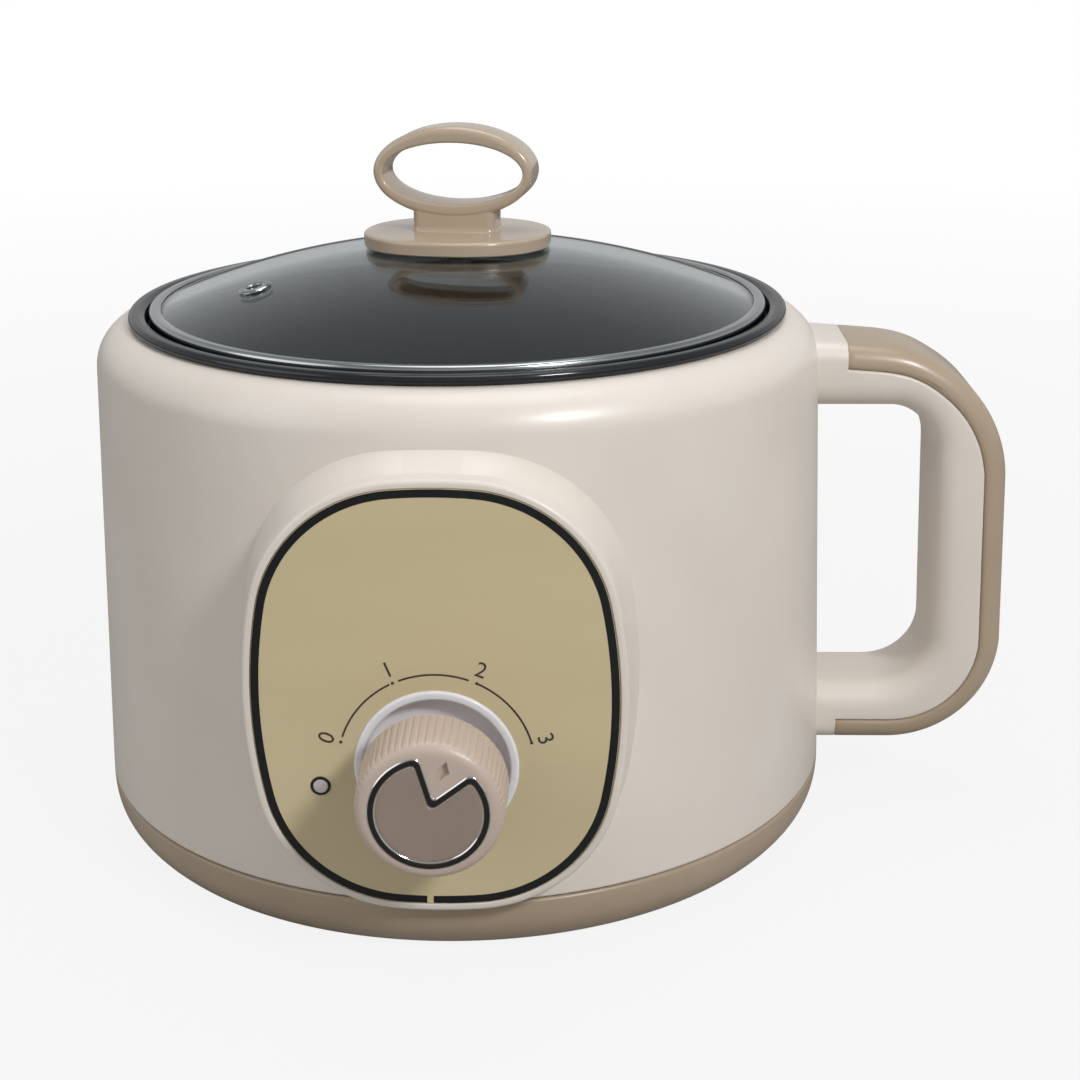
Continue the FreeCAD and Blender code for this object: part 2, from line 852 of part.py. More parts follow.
def dome_ball(depth=0.0):
    """The ball that the glass is part of, or one that is smaller by depth."""
    ball = Part.makeSphere(dome_radius - depth)
    ball.rotate(V(0, 0, 0), V(0, 1, 0), 90)
    return moved(ball, 0, 0, dome_centre)


def lid_glass():
    """A domed pane with a square edge and holes for the knob's screw and the vent."""
    low = dome_level(lid_edge_radius, glass_thickness)
    pane = dome_ball().common(cylinder(lid_edge_radius, low, dome_apex + 1))
    steps = [lid_edge_radius + 1, lid_edge_radius * 0.7, lid_edge_radius * 0.4, washer_radius + 2]
    levels = [dome_level(radius, glass_thickness) for radius in steps]
    under = [tapered_prism(hidden_sides, steps[i], levels[i], steps[i + 1], levels[i + 1])
             for i in range(len(steps) - 1)]
    under.append(prism(hidden_sides, steps[0], levels[0] - 3, levels[0]))
    knob_hole = prism(8, lid_screw_radius + fit, dome_apex - 10, dome_apex + 5)
    return pane.cut([joined(under), knob_hole, at_vent(prism(12, eyelet_bore + eyelet_wall + fit, -8, 5))])


def at_vent(shape):
    """Sets a shape built on the Z axis square to the glass at the vent."""
    reach = math.hypot(vent_x, vent_y)
    tilt = math.degrees(math.asin(reach / dome_radius))
    placed = shape.copy()
    placed.rotate(V(0, 0, 0), V(0, 1, 0), tilt)
    placed.rotate(V(0, 0, 0), UP, math.degrees(math.atan2(vent_y, vent_x)))
    placed.translate(V(vent_x, vent_y, dome_level(reach)))
    return placed


def vent_eyelet():
    """A steel eyelet that lines the steam hole."""
    under = -glass_thickness - 2 * fit
    tube = prism(12, eyelet_bore + eyelet_wall, under - eyelet_flange, fit)
    flange = prism(24, eyelet_radius, fit, fit + eyelet_flange)
    collar = prism(12, eyelet_radius - 1, under - eyelet_flange, under - fit)
    return at_vent(joined([tube, flange, collar]).cut(prism(12, eyelet_bore, under - 5, 5)))


def lid_band():
    """The steel band around the glass edge, with a lip over it."""
    edge = lid_edge_radius + fit / 3
    outer = edge + band_wall
    lip = lid_edge_radius - band_lip
    gap = fit / 3
    return revolved(sharp([
        (outer, band_bottom),
        (outer, dome_level(edge) + band_lip_thickness),
        (lip, dome_level(lip) + gap + band_lip_thickness),
        (lip, dome_level(lip) + gap),
        (edge, dome_level(edge) + gap),
        (edge, band_bottom),
    ]))


def oval(length, depth, bottom, top):
    """An elliptical prism on the Z axis."""
    major, minor = max(length, depth) / 2, min(length, depth) / 2
    edge = Part.Ellipse(V(0, 0, 0), major, minor).toShape()
    if depth > length:
        edge.rotate(V(0, 0, 0), UP, 90)
    edge.translate(V(0, 0, bottom))
    return Part.Face(Part.Wire([edge])).extrude(V(0, 0, top - bottom))


def lid_knob_plate():
    """The oval foot of the knob, dished underneath to sit on the glass."""
    plate = oval(plate_length, plate_depth, dome_apex - 6, plate_top)
    top_edges = [e for e in plate.Edges if abs(e.BoundBox.ZMin - plate_top) < 0.01]
    plate = plate.makeChamfer(plate_thickness * 0.2, top_edges)
    cuts = [dome_ball(-fit), prism(8, lid_screw_radius + fit, dome_apex - 10, plate_top + 5)]
    return turned(plate.cut(cuts), lid_knob_turn)


def lid_knob_loop():
    """The stem and the elliptical loop above it, with a blind hole for the screw."""
    outer = standing_oval(loop_width, loop_height)
    inner = standing_oval(loop_width - 2 * loop_side, loop_height - 2 * loop_end)
    stem_top = loop_centre - loop_height / 2 * 0.5
    foot = stem_width / 2 + 1
    waist = stem_width / 2
    stem = extruded([
        (-foot, plate_top, 0), (foot, plate_top, 0), (waist, plate_top + stem_height, stem_height),
        (waist, stem_top, 0), (-waist, stem_top, 0), (-waist, plate_top + stem_height, stem_height),
    ], in_side_view, -stem_depth / 2, stem_depth / 2)
    bore = prism(8, lid_screw_radius, plate_top - 1, plate_top + stem_height + 1)
    return turned(joined([outer, stem]).cut([inner, bore]), lid_knob_turn)


def standing_oval(width, height):
    """An elliptical prism along Y at the loop's centre."""
    solid = oval(width, height, -loop_depth / 2, loop_depth / 2)
    solid.rotate(V(0, 0, 0), V(1, 0, 0), 90)
    solid.translate(V(0, 0, loop_centre))
    return solid


def under_glass():
    """Level of the soft washer's top, just under the flat middle of the pane."""
    return dome_level(washer_radius + 2, glass_thickness) - fit


def lid_gasket():
    """A soft washer under the glass."""
    top = under_glass()
    hole = prism(8, lid_screw_radius + fit, top - 9, top + 1)
    return prism(16, washer_radius + 1, top - gasket_thickness, top).cut(hole)


def lid_washer():
    top = under_glass() - gasket_thickness
    hole = prism(8, lid_screw_radius + fit, top - 9, top + 1)
    return prism(16, washer_radius, top - washer_thickness, top).cut(hole)


def lid_screw():
    """The screw that pulls the knob down on the glass."""
    seat = under_glass() - gasket_thickness - washer_thickness
    shank = prism(8, lid_screw_radius - fit / 2, seat, plate_top + stem_height)
    return joined([shank, prism(6, lid_screw_radius * 2, seat - 2.4, seat)])


# Control panel

def control_panel():
    """The gold panel, set into the boss, with holes for the knob's cup and the lamp."""
    panel = panel_prism(0, panel_face, panel_face - panel_thickness)
    cup_hole = to_dial(prism(hidden_sides, cup_radius + fit, -9, 9))
    lamp_hole = to_dial(prism(12, lamp_lens_radius + 0.4 + fit, -9, 9), lamp_x, lamp_height)
    return panel.cut([cup_hole, lamp_hole])


def knob_cup():
    """The white cup that the knob stands in, with a raised lip on the panel."""
    floor = -cup_depth
    body = prism(hidden_sides, cup_radius, floor - cup_floor, 0)
    lip = cylinder(cup_lip_radius, 0, cup_lip_proud)
    bore = prism(12, bush_radius + fit, floor - cup_floor - 1, floor + 1)
    return to_dial(joined([body, lip]).cut([cylinder(cup_inner_radius, floor, cup_lip_proud + 1), bore]))


# Dial knob

def notched_disc(inset, bottom, top):
    """A disc with a V notch towards +Y, its outline drawn in by inset and its outer corners rounded."""
    radius = ring_radius - inset
    slope = math.radians(notch_half_angle)
    apex = notch_apex - inset / math.sin(slope)
    reach = ring_radius * 2
    far = (reach * math.sin(slope), apex + reach * math.cos(slope))
    wedge = extruded(sharp([(0, apex), far, (-far[0], far[1])]), in_plan, bottom - 1, top + 1)
    solid = cylinder(radius, bottom, top).cut(wedge)
    corners = [e for e in solid.Edges if upright(e) and edge_is_notch_corner(e, radius)]
    return solid.makeFillet(max(ring_corner - inset / 2, 0.4), corners)


def upright(edge):
    bounds = edge.BoundBox
    return bounds.XLength < 0.01 and bounds.YLength < 0.01


def edge_is_notch_corner(edge, radius):
    """True for the two corners on the rim, which lie in the upper half and off the seam of the disc."""
    x, y = edge.Vertexes[0].X, edge.Vertexes[0].Y
    return y > 0.5 and abs(math.hypot(x, y) - radius) < 0.05


def knob():
    """The taupe knob: a ribbed head, a hub over the shaft, a pocket for the ring and a pointer mark."""
    face = knob_gap + knob_length
    head = revolved([
        (0, knob_gap, 0),
        (knob_radius, knob_gap, 0),
        (knob_radius, face, knob_round),
        (0, face, 0),
    ])
    hub = prism(24, hub_radius, hub_foot(), knob_gap)
    groove = extruded(sharp([(knob_radius - rib_groove_depth, 0), (knob_radius + 1, -rib_groove_width),
                             (knob_radius + 1, rib_groove_width)]), in_plan, knob_gap - 1, face - knob_round)
    bore = prism(12, shaft_radius + fit, hub_foot() - 1, shaft_reach + 0.5)
    half_l, half_w = diamond_length / 2, diamond_width / 2
    mark = extruded(sharp([(0, diamond_radius - half_l), (half_w, diamond_radius), (0, diamond_radius + half_l),
                           (-half_w, diamond_radius)]), in_plan, face - diamond_depth, face + 1)
    pocket = notched_disc(0, face - ring_depth, face + 2)
    solid = joined([head, hub]).cut(around(groove, rib_count) + [bore, mark, pocket])
    return to_dial(turned(solid, dial_turn))


def hub_foot():
    """Level of the hub's lower end above the panel's face, just clear of the switch's bush."""
    return bush_length - cup_depth + hub_foot_gap


def knob_ring():
    """The bright band that follows the notched outline."""
    face = knob_gap + knob_length
    outer = notched_disc(fit / 3, face - ring_depth, face + ring_proud)
    inner = notched_disc(ring_width, face - ring_depth - 1, face + ring_proud + 1)
    return to_dial(turned(outer.cut(inner), dial_turn))


def knob_insert():
    """The disc inside the bright band."""
    face = knob_gap + knob_length
    disc = notched_disc(ring_width + fit / 3, face - ring_depth, face - insert_sink)
    return to_dial(turned(disc, dial_turn))


def switch_shaft():
    """The D-shaped spindle that turns with the knob."""
    shaft = prism(12, shaft_radius, -cup_depth - cup_floor, shaft_reach)
    flat = box(V(-9, shaft_radius - shaft_flat, shaft_reach / 3), V(9, 9, shaft_reach + 1))
    return to_dial(turned(shaft.cut(flat), dial_turn))


def rotary_switch():
    """The switch's case with its bush and tabs."""
    front = -cup_depth - cup_floor
    back = front - switch_depth
    half_w, half_t = switch_width / 2, switch_tall / 2
    case = box(V(-half_w, -half_t, back), V(half_w, half_t, front - fit))
    bush = prism(12, bush_radius, front - fit, front + cup_floor + bush_length)
    tabs = [box(V(x - 3, y - 0.4, back - tab_length), V(x + 3, y + 0.4, back))
            for x in (-7, 7) for y in (-8, 8)]
    bore = cylinder(shaft_radius + running_gap, front - 4, 5)
    return to_dial(joined([case, bush] + tabs).cut(bore))


def switch_nut():
    bottom = -cup_depth
    nut = hexagon(switch_nut_flats, bottom, bottom + switch_nut_height)
    return to_dial(nut.cut(prism(12, bush_radius + fit / 2, bottom - 1, bottom + 9)))


# Pilot lamp

def lamp_ring():
    sleeve = prism(12, lamp_lens_radius + 0.4, -lamp_sleeve, 0)
    rim = prism(24, lamp_ring_radius, 0, lamp_proud)
    return to_dial(joined([sleeve, rim]).cut(prism(24, lamp_lens_radius, -9, 9)), lamp_x, lamp_height)


def lamp_lens():
    return to_dial(prism(24, lamp_lens_radius - 0.05, -lamp_sleeve / 2, lamp_proud + 0.2), lamp_x, lamp_height)


def neon_bulb():
    return to_dial(prism(12, bulb_radius, -lamp_sleeve - bulb_length, -lamp_sleeve), lamp_x, lamp_height)


# Power inlet

def inlet_frame(width, tall, start, end, chamfer=0.0):
    """A block at the inlet between two planes behind the axis, with its two upper corners cut off."""
    left, right = -width / 2, width / 2
    low, high = inlet_height - tall / 2, inlet_height + tall / 2
    outline = [(left, low), (right, low), (right, high - chamfer), (right - chamfer, high),
               (left + chamfer, high), (left, high - chamfer)]
    if not chamfer:
        outline = [(left, low), (right, low), (right, high), (left, high)]
    return extruded(sharp(outline), in_side_view, -end, -start)


def power_inlet():
    back = flange_face - inlet_depth
    flange = inlet_frame(flange_width, flange_tall, inlet_plane, flange_face)
    body = inlet_frame(inlet_width, inlet_tall, back, inlet_plane)
    socket = inlet_frame(socket_width, socket_tall, flange_face - socket_depth, flange_face + 1,
                         socket_tall / 4)
    slots = [pin_shape(x, z, fit / 3) for x, z in pin_places()]
    return joined([flange, body]).cut([socket] + inlet_screw_holes() + slots)


def pin_places():
    return [(-pin_spacing, -side_pin_drop), (0, earth_pin_rise), (pin_spacing, -side_pin_drop)]


def pin_shape(x, z, grow=0.0):
    """One blade, from its tab behind the inlet to its tip in the socket."""
    half_w, half_t = pin_width / 2 + grow, pin_tall / 2 + grow
    level = inlet_height + z
    return box(V(x - half_w, flange_face - inlet_depth - tab_length - grow, level - half_t),
               V(x + half_w, flange_face - pin_sink + grow, level + half_t))


def inlet_pins():
    return group([pin_shape(x, z) for x, z in pin_places()])


def inlet_screws():
    laid = screw(inlet_screw_length)
    laid.rotate(V(0, 0, 0), V(1, 0, 0), 90)
    return group([moved(laid, side * inlet_screw_spread, flange_face, inlet_height) for side in (-1, 1)])


# Wiring

def terminal_block():
    low = V(-block_length / 2, block_y - block_width / 2, floor_top)
    high = V(block_length / 2, block_y + block_width / 2, floor_top + block_tall)
    block = box(low, high)
    middle, top = floor_top + block_tall / 2, floor_top + block_tall + 1
    walls = [box(V(x - 1.5, low.y - 1, middle), V(x + 1.5, high.y + 1, top)) for x in (-7.5, 7.5)]
    return block.cut(walls)


def flat_lead(points, x):
    """A flat bundle of leads along a route in the section plane, centred on x, mitred at each turn."""
    half = lead_thickness / 2
    left, right = [], []
    for i, (a, b) in enumerate(points):
        before = points[max(i - 1, 0):max(i - 1, 0) + 2]
        after = points[min(i, len(points) - 2):min(i, len(points) - 2) + 2]
        way_in = math.atan2(before[1][1] - before[0][1], before[1][0] - before[0][0])
        way_out = math.atan2(after[1][1] - after[0][1], after[1][0] - after[0][0])
        turn = (way_out - way_in + math.pi) % (2 * math.pi) - math.pi
        reach = half / math.cos(turn / 2)
        across = way_in + turn / 2 + math.pi / 2
        left.append((a + reach * math.cos(across), b + reach * math.sin(across)))
        right.append((a - reach * math.cos(across), b - reach * math.sin(across)))
    return extruded(sharp(right + left[::-1]), in_section, x - lead_width / 2, x + lead_width / 2)


def inlet_leads():
    """From the inlet's tabs down to the floor and forward to the terminal block."""
    start = flange_face - inlet_depth - tab_length
    lying = floor_top + lead_thickness / 2
    turn_y = start - lead_bend
    tab_level = inlet_height - side_pin_drop
    back = block_y + block_width / 2
    return flat_lead([(start, tab_level), (turn_y, tab_level), (turn_y, lying), (back, lying)], 0)


def switch_leads():
    """From the terminal block along the floor and up to the switch's tabs."""
    tab_end = cup_depth + cup_floor + switch_depth + tab_length - panel_face
    lying = floor_top + lead_thickness / 2
    rise_y = tab_end + lead_bend
    tab_level = dial_height - 8
    front = block_y - block_width / 2
    return flat_lead([(front, lying), (rise_y, lying), (rise_y, tab_level), (tab_end, tab_level)], 7)


def heater_leads():
    """From the terminal block under the pot's strap and up to the heater's terminals."""
    front = block_y - block_width / 2
    half_block = floor_top + block_tall / 2
    pin_end = heater_bottom - bead_height - terminal_length * 1.5
    pin_y = -bead_circle * math.cos(math.radians(terminal_angle))
    x = bead_circle * math.sin(math.radians(terminal_angle))
    run = pin_end - lead_bend
    route = [(front, half_block), (front - lead_bend, half_block), (pin_y, run), (pin_y, pin_end)]
    return group([flat_lead(route, -x), flat_lead(route, x)])


def export(name, shape):
    shape.exportStep("parts/" + name + ".step")
    print(name, len(shape.Solids), "solids", round(shape.Volume), "mm3", "valid" if shape.isValid() else "INVALID")


def main():
    os.makedirs("parts", exist_ok=True)
    core, cover = handle_pieces()
    pieces = {
        "base_tray": base_tray(),
        "rubber_feet": rubber_feet(),
        "base_screws": base_screws(),
        "outer_shell": outer_shell(),
        "handle_core": core,
        "handle_cover": cover,
        "handle_screws": handle_screws(),
        "inner_pot": inner_pot(),
        "heater_plate": heater_plate(),
        "heater_terminals": heater_terminals(),
        "thermostat": thermostat(),
        "thermostat_clip": thermostat_clip(),
        "clip_screws": clip_screws(),
        "thermal_fuse": thermal_fuse(),
        "pot_strap": pot_strap(),
        "strap_screws": strap_screws(),
        "pot_studs": pot_studs(),
        "stud_nuts": stud_nuts(),
        "lid_glass": lid_glass(),
        "lid_band": lid_band(),
        "vent_eyelet": vent_eyelet(),
        "lid_knob_plate": lid_knob_plate(),
        "lid_knob_loop": lid_knob_loop(),
        "lid_gasket": lid_gasket(),
        "lid_washer": lid_washer(),
        "lid_screw": lid_screw(),
        "control_panel": control_panel(),
        "knob_cup": knob_cup(),
        "knob": knob(),
        "knob_ring": knob_ring(),
        "knob_insert": knob_insert(),
        "switch_shaft": switch_shaft(),
        "rotary_switch": rotary_switch(),
        "switch_nut": switch_nut(),
        "lamp_ring": lamp_ring(),
        "lamp_lens": lamp_lens(),
        "neon_bulb": neon_bulb(),
        "power_inlet": power_inlet(),
        "inlet_pins": inlet_pins(),
        "inlet_screws": inlet_screws(),
        "terminal_block": terminal_block(),
        "inlet_leads": inlet_leads(),
        "switch_leads": switch_leads(),
        "heater_leads": heater_leads(),
    }
    for name, shape in pieces.items():
        export(name, shape)


main()
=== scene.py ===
import bpy
import bmesh
import math
import numpy as np
from mathutils import Matrix, Vector


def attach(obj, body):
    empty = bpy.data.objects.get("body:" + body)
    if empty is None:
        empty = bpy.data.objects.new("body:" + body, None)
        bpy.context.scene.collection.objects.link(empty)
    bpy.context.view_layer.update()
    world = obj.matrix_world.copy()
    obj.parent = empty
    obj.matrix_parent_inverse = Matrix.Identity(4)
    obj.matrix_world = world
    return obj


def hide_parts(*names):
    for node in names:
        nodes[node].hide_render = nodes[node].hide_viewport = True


# Electric hot pot with a lift-off glass lid. Sizes are in millimetres and become metres when a mesh is made.
# The pot stands on Z, its dial faces -Y and its handle is towards +X.

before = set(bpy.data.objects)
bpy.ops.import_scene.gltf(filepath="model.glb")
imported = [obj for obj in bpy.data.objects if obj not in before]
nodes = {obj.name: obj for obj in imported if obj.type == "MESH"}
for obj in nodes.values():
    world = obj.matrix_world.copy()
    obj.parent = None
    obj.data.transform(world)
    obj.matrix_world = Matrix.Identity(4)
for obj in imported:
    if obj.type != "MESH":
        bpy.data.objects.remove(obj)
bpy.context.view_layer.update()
millimetre = 0.001
fullTurn = 2 * math.pi
drumPoints = 288


# Shapes: a set of rings is an array of rings x points x 3, and each ring is closed on itself

def quarter(steps):
    return np.linspace(0, math.pi / 2, steps)


def unitCircle(angle):
    return np.stack([np.cos(angle), np.sin(angle)], -1)


def lying(line, z):
    # A flat line (X, Y) at one height
    return np.stack([line[:, 0], line[:, 1], np.broadcast_to(z, len(line))], -1)


def standing(line, y):
    # A flat line (X, Z) at one depth
    return np.stack([line[:, 0], np.broadcast_to(y, len(line)), line[:, 1]], -1)


def circleRings(profile, segments=192):
    # Each profile point (radius, height) is swept round Z: x = r cos a, y = r sin a
    line = np.asarray(profile, float)
    angle = np.arange(segments) * fullTurn / segments
    x = line[:, 0:1] * np.cos(angle)
    y = line[:, 0:1] * np.sin(angle)
    return np.stack([x, y, np.broadcast_to(line[:, 1:2], x.shape)], -1)


def roundedLine(corners, steps=6, closed=True):
    # A polyline whose corners (a, b, radius) become arcs that touch both neighbours
    out = []
    count = len(corners)
    for i, (a, b, radius) in enumerate(corners):
        here = np.array([a, b], float)
        if radius <= 0 or (not closed and i in (0, count - 1)):
            out.append(here[None])
            continue
        before = np.array(corners[i - 1][:2], float) - here
        after = np.array(corners[(i + 1) % count][:2], float) - here
        before, after = before / np.linalg.norm(before), after / np.linalg.norm(after)
        half = math.acos(float(np.clip(before @ after, -1, 1))) / 2
        middle = (before + after) / np.linalg.norm(before + after)
        centre = here + middle * radius / math.sin(half)
        first = here + before * radius / math.tan(half) - centre
        last = here + after * radius / math.tan(half) - centre
        start = math.atan2(first[1], first[0])
        turn = (math.atan2(last[1], last[0]) - start + math.pi) % fullTurn - math.pi
        sweep = start + turn * np.linspace(0, 1, steps)
        out.append(centre + radius * unitCircle(sweep))
    return np.concatenate(out)


def capped(rings):
    # Closes both ends of a set of rings with a point at the middle of the end ring
    first = np.broadcast_to(rings[0].mean(0), rings[0].shape)[None]
    last = np.broadcast_to(rings[-1].mean(0), rings[-1].shape)[None]
    return np.concatenate([first, rings, last])


def joinedBack(rings):
    # Closes a set of rings by running it back to its first ring
    return np.concatenate([rings, rings[:1]])


def ringFaces(rows, count, start):
    # Quads between neighbouring rings: point j, its neighbour j + 1, and the same two on the next ring
    row = np.arange(rows - 1)[:, None] * count
    j = np.arange(count)[None]
    k = (j + 1) % count
    quads = np.stack([row + j, row + k, row + count + k, row + count + j], -1)
    return quads.reshape(-1, 4) + start


def meshArrays(mesh):
    # The points and the triangles of a mesh
    mesh.calc_loop_triangles()
    points, corners = np.zeros(len(mesh.vertices) * 3), np.zeros(len(mesh.loop_triangles) * 3, int)
    mesh.vertices.foreach_get("co", points)
    mesh.loop_triangles.foreach_get("vertices", corners)
    return points.reshape(-1, 3), corners.reshape(-1, 3)


def makePiece(name, ringSets, finish, body, replaced=(), sharp=38, extra=()):
    # Turns sets of rings (and a plain pair of points and triangles) into one closed mesh that rides on a body
    points, faces, start = [], [], 0
    for rings in ringSets:
        rings = np.asarray(rings, float)
        faces += ringFaces(rings.shape[0], rings.shape[1], start).tolist()
        points.append(rings.reshape(-1, 3))
        start += rings.shape[0] * rings.shape[1]
    for morePoints, moreFaces in extra:
        faces += (np.asarray(moreFaces) + start).tolist()
        points.append(np.asarray(morePoints, float))
        start += len(morePoints)
    mesh = bpy.data.meshes.new(name)
    mesh.from_pydata((np.concatenate(points) * millimetre).tolist(), [], faces)
    work = bmesh.new()
    work.from_mesh(mesh)
    bmesh.ops.remove_doubles(work, verts=work.verts, dist=2e-6)
    bmesh.ops.dissolve_degenerate(work, edges=work.edges, dist=1e-7)
    bmesh.ops.recalc_face_normals(work, faces=work.faces)
    work.to_mesh(mesh)
    work.free()
    mesh.shade_smooth()
    mesh.set_sharp_from_angle(angle=math.radians(sharp))
    mesh.materials.append(finishes[finish])
    piece = bpy.data.objects.new(name, mesh)
    bpy.context.scene.collection.objects.link(piece)
    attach(piece, body)
    if replaced:
        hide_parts(*replaced)
    return piece


# Finishes: every one is built from noise in object space

def linear(colour):
    # From the 0-255 scale of a picture to the linear scale of a shader
    c = np.asarray(colour, float) / 255
    return (*np.where(c <= 0.04045, c / 12.92, ((c + 0.055) / 1.055) ** 2.4).tolist(), 1.0)


def newFinish(name):
    finish = bpy.data.materials.new(name)
    finish.use_nodes = True
    return finish, finish.node_tree, finish.node_tree.nodes["Principled BSDF"]


def fill(node, inputs):
    # Each input takes a value, or a link from the output of another node
    for key, value in inputs.items():
        if isinstance(value, bpy.types.NodeSocket):
            node.id_data.links.new(value, node.inputs[key])
        else:
            node.inputs[key].default_value = value


def added(tree, kind, inputs=(), **settings):
    node = tree.nodes.new("ShaderNode" + kind)
    for key, value in settings.items():
        setattr(node, key, value)
    fill(node, dict(inputs))
    return node


def ranged(tree, value, low, high, start=0.0, end=1.0):
    # Runs from low to high while the value runs from start to end
    inputs = {"Value": value, "From Min": start, "From Max": end, "To Min": low, "To Max": high}
    return added(tree, "MapRange", inputs).outputs["Result"]


def along(tree, axis, kind="Object"):
    place = added(tree, "TexCoord").outputs[kind]
    return added(tree, "SeparateXYZ", {0: place}).outputs[axis]


def noiseOver(tree, scale, detail=3.0, stretch=(1, 1, 1)):
    place = added(tree, "TexCoord").outputs["Object"]
    mapped = added(tree, "Mapping", {"Vector": place, "Scale": stretch}).outputs["Vector"]
    return added(tree, "TexNoise", {"Vector": mapped, "Scale": scale, "Detail": detail}).outputs["Fac"]


def blended(tree, share, first, second):
    return added(tree, "Mix", {0: share, 6: first, 7: second}, data_type="RGBA").outputs[2]


def bumped(tree, height, strength, distance):
    return added(tree, "Bump", {"Height": height, "Strength": strength, "Distance": distance}).outputs["Normal"]


def mouldedFinish(name, colour, shade, roughness, look):
    # Plastic, rubber, paint and plain metal: mottled colour, uneven gloss and a fine grain
    finish, tree, shader = newFinish(name)
    stretch = look.get("stretch", (1, 1, 1))
    tone = noiseOver(tree, look.get("toneScale", 22.0), 4.0, stretch)
    base = blended(tree, ranged(tree, tone, 0, 1, 0.35, 0.75), linear(colour), linear(shade))
    # A crown colour is painted over a band of object depth. On the ring this is a painted dark reflection over its
    # raised middle, which leaves only the edges bright
    if "crown" in look:
        base = blended(tree, ranged(tree, along(tree, "Y"), 0, 1, *look["crownAt"]), base, linear(look["crown"]))
    gloss = noiseOver(tree, 60.0, 2.0, stretch)
    grain = noiseOver(tree, look.get("grainScale", 1400.0), 2.0, stretch)
    fill(shader, {"Base Color": base, "Roughness": ranged(tree, gloss, *roughness),
                  "Normal": bumped(tree, grain, look.get("grain", 0.12), look.get("grainDepth", 6e-5)),
                  "Metallic": look.get("metallic", 0.0), "Specular IOR Level": look.get("specular", 0.5),
                  "Coat Weight": look.get("coat", 0.0), "Coat Roughness": look.get("coatRoughness", 0.1)})
    if "coatAbove" in look:
        start = look["coatAbove"]
        fill(shader, {"Coat Weight": ranged(tree, along(tree, "Z"), 0, look["rimCoat"], start, start + 0.001)})
    return finish


def glassFinish(name, colour, roughness, clear=1.0):
    # Clear pane or lens: tinted transmission, faint smears in the gloss and a slow ripple
    finish, tree, shader = newFinish(name)
    smear, ripple = noiseOver(tree, 35.0, 5.0, (1, 2.4, 1)), noiseOver(tree, 9.0, 0.0)
    fill(shader, {"Base Color": linear(colour), "Transmission Weight": clear, "IOR": 1.5,
                  "Roughness": ranged(tree, smear, *roughness, 0.45, 0.8),
                  "Normal": bumped(tree, ripple, 0.05, 0.0006)})
    return finish


# Each look: colour, the shade it is mottled with, the span of its roughness, and what else it has
looks = {
    "creamPlastic": ((230, 222, 213), (224, 215, 205), (0.3, 0.4),
        {"grain": 0.1, "coat": 0.15, "coatRoughness": 0.25}),
    "taupePlastic": ((178, 160, 138), (170, 151, 129), (0.28, 0.38),
        {"grain": 0.1, "coat": 0.2, "coatRoughness": 0.2}),
    "knobPlastic": ((201, 184, 171), (193, 175, 162), (0.3, 0.42), {"grain": 0.14}),
    "lidKnobPlastic": ((190, 172, 150), (181, 162, 140), (0.16, 0.26),
        {"grain": 0.05, "coat": 0.5, "coatRoughness": 0.08}),
    "insertPlastic": ((152, 136, 124), (143, 127, 115), (0.18, 0.28),
        {"grain": 0.04, "coat": 0.4, "coatRoughness": 0.12}),
    "panelGold": ((211, 196, 157), (205, 190, 151), (0.34, 0.46),
        {"grain": 0.22, "grainScale": 2600.0, "coat": 0.3, "coatRoughness": 0.3, "stretch": (0.25, 1, 1.6)}),
    "borderInk": ((12, 14, 16), (20, 22, 24), (0.22, 0.34), {"grain": 0.04, "specular": 0.35}),
    "printInk": ((70, 58, 50), (58, 48, 42), (0.4, 0.55), {"grain": 0.1}),
    "whitePlastic": ((240, 239, 242), (233, 232, 238), (0.22, 0.32), {"grain": 0.06}),
    "potCoating": ((8, 12, 20), (15, 20, 30), (0.42, 0.58),
        {"toneScale": 900.0, "grain": 0.2, "grainScale": 2200.0, "specular": 0.16, "coatAbove": 0.1535,
         "rimCoat": 0.7, "coatRoughness": 0.1}),
    "bandSteel": ((176, 182, 184), (152, 158, 160), (0.12, 0.24),
        {"metallic": 1.0, "stretch": (1, 1, 12), "grain": 0.08}),
    # The ring's bright chrome, with its crown colour painted dark over the raised middle as a painted dark
    # reflection, so that only the edges stay bright
    "ringChromePaintedReflection": ((226, 224, 220), (206, 204, 200), (0.06, 0.14),
        {"metallic": 1.0, "grain": 0.03, "coat": 0.8, "coatRoughness": 0.04, "crown": (30, 29, 28),
         "crownAt": (-0.14168, -0.14184)}),
    "screwSteel": ((176, 178, 182), (150, 152, 156), (0.25, 0.42), {"metallic": 1.0}),
    "strapSteel": ((168, 170, 172), (142, 144, 148), (0.32, 0.5),
        {"metallic": 1.0, "stretch": (1, 8, 1), "grain": 0.2}),
    "castPlate": ((150, 150, 152), (126, 126, 130), (0.42, 0.62),
        {"metallic": 0.9, "grainScale": 700.0, "grain": 0.4, "grainDepth": 0.0002}),
    "terminalSteel": ((186, 184, 176), (160, 158, 150), (0.3, 0.45), {"metallic": 1.0}),
    "pinBrass": ((206, 178, 108), (184, 154, 88), (0.2, 0.36), {"metallic": 1.0}),
    "thermostatBody": ((206, 198, 182), (188, 180, 164), (0.5, 0.7), {"grain": 0.3}),
    "fuseSleeve": ((222, 218, 206), (206, 200, 186), (0.55, 0.75),
        {"grain": 0.5, "grainScale": 900.0, "stretch": (1, 4, 4)}),
    "darkPlastic": ((38, 38, 40), (48, 48, 50), (0.34, 0.5), {"grain": 0.2}),
    "footRubber": ((52, 49, 47), (64, 60, 58), (0.6, 0.8), {"grain": 0.4, "grainScale": 900.0}),
    "gasketRubber": ((196, 192, 186), (180, 176, 170), (0.45, 0.6), {"grain": 0.25}),
    "leadSheath": ((206, 204, 200), (190, 188, 184), (0.45, 0.6), {"grain": 0.2}),
}
finishes = {name: mouldedFinish(name, *look) for name, look in looks.items()}
finishes["lidPane"] = glassFinish("lidPane", (212, 224, 228), (0.0, 0.05))
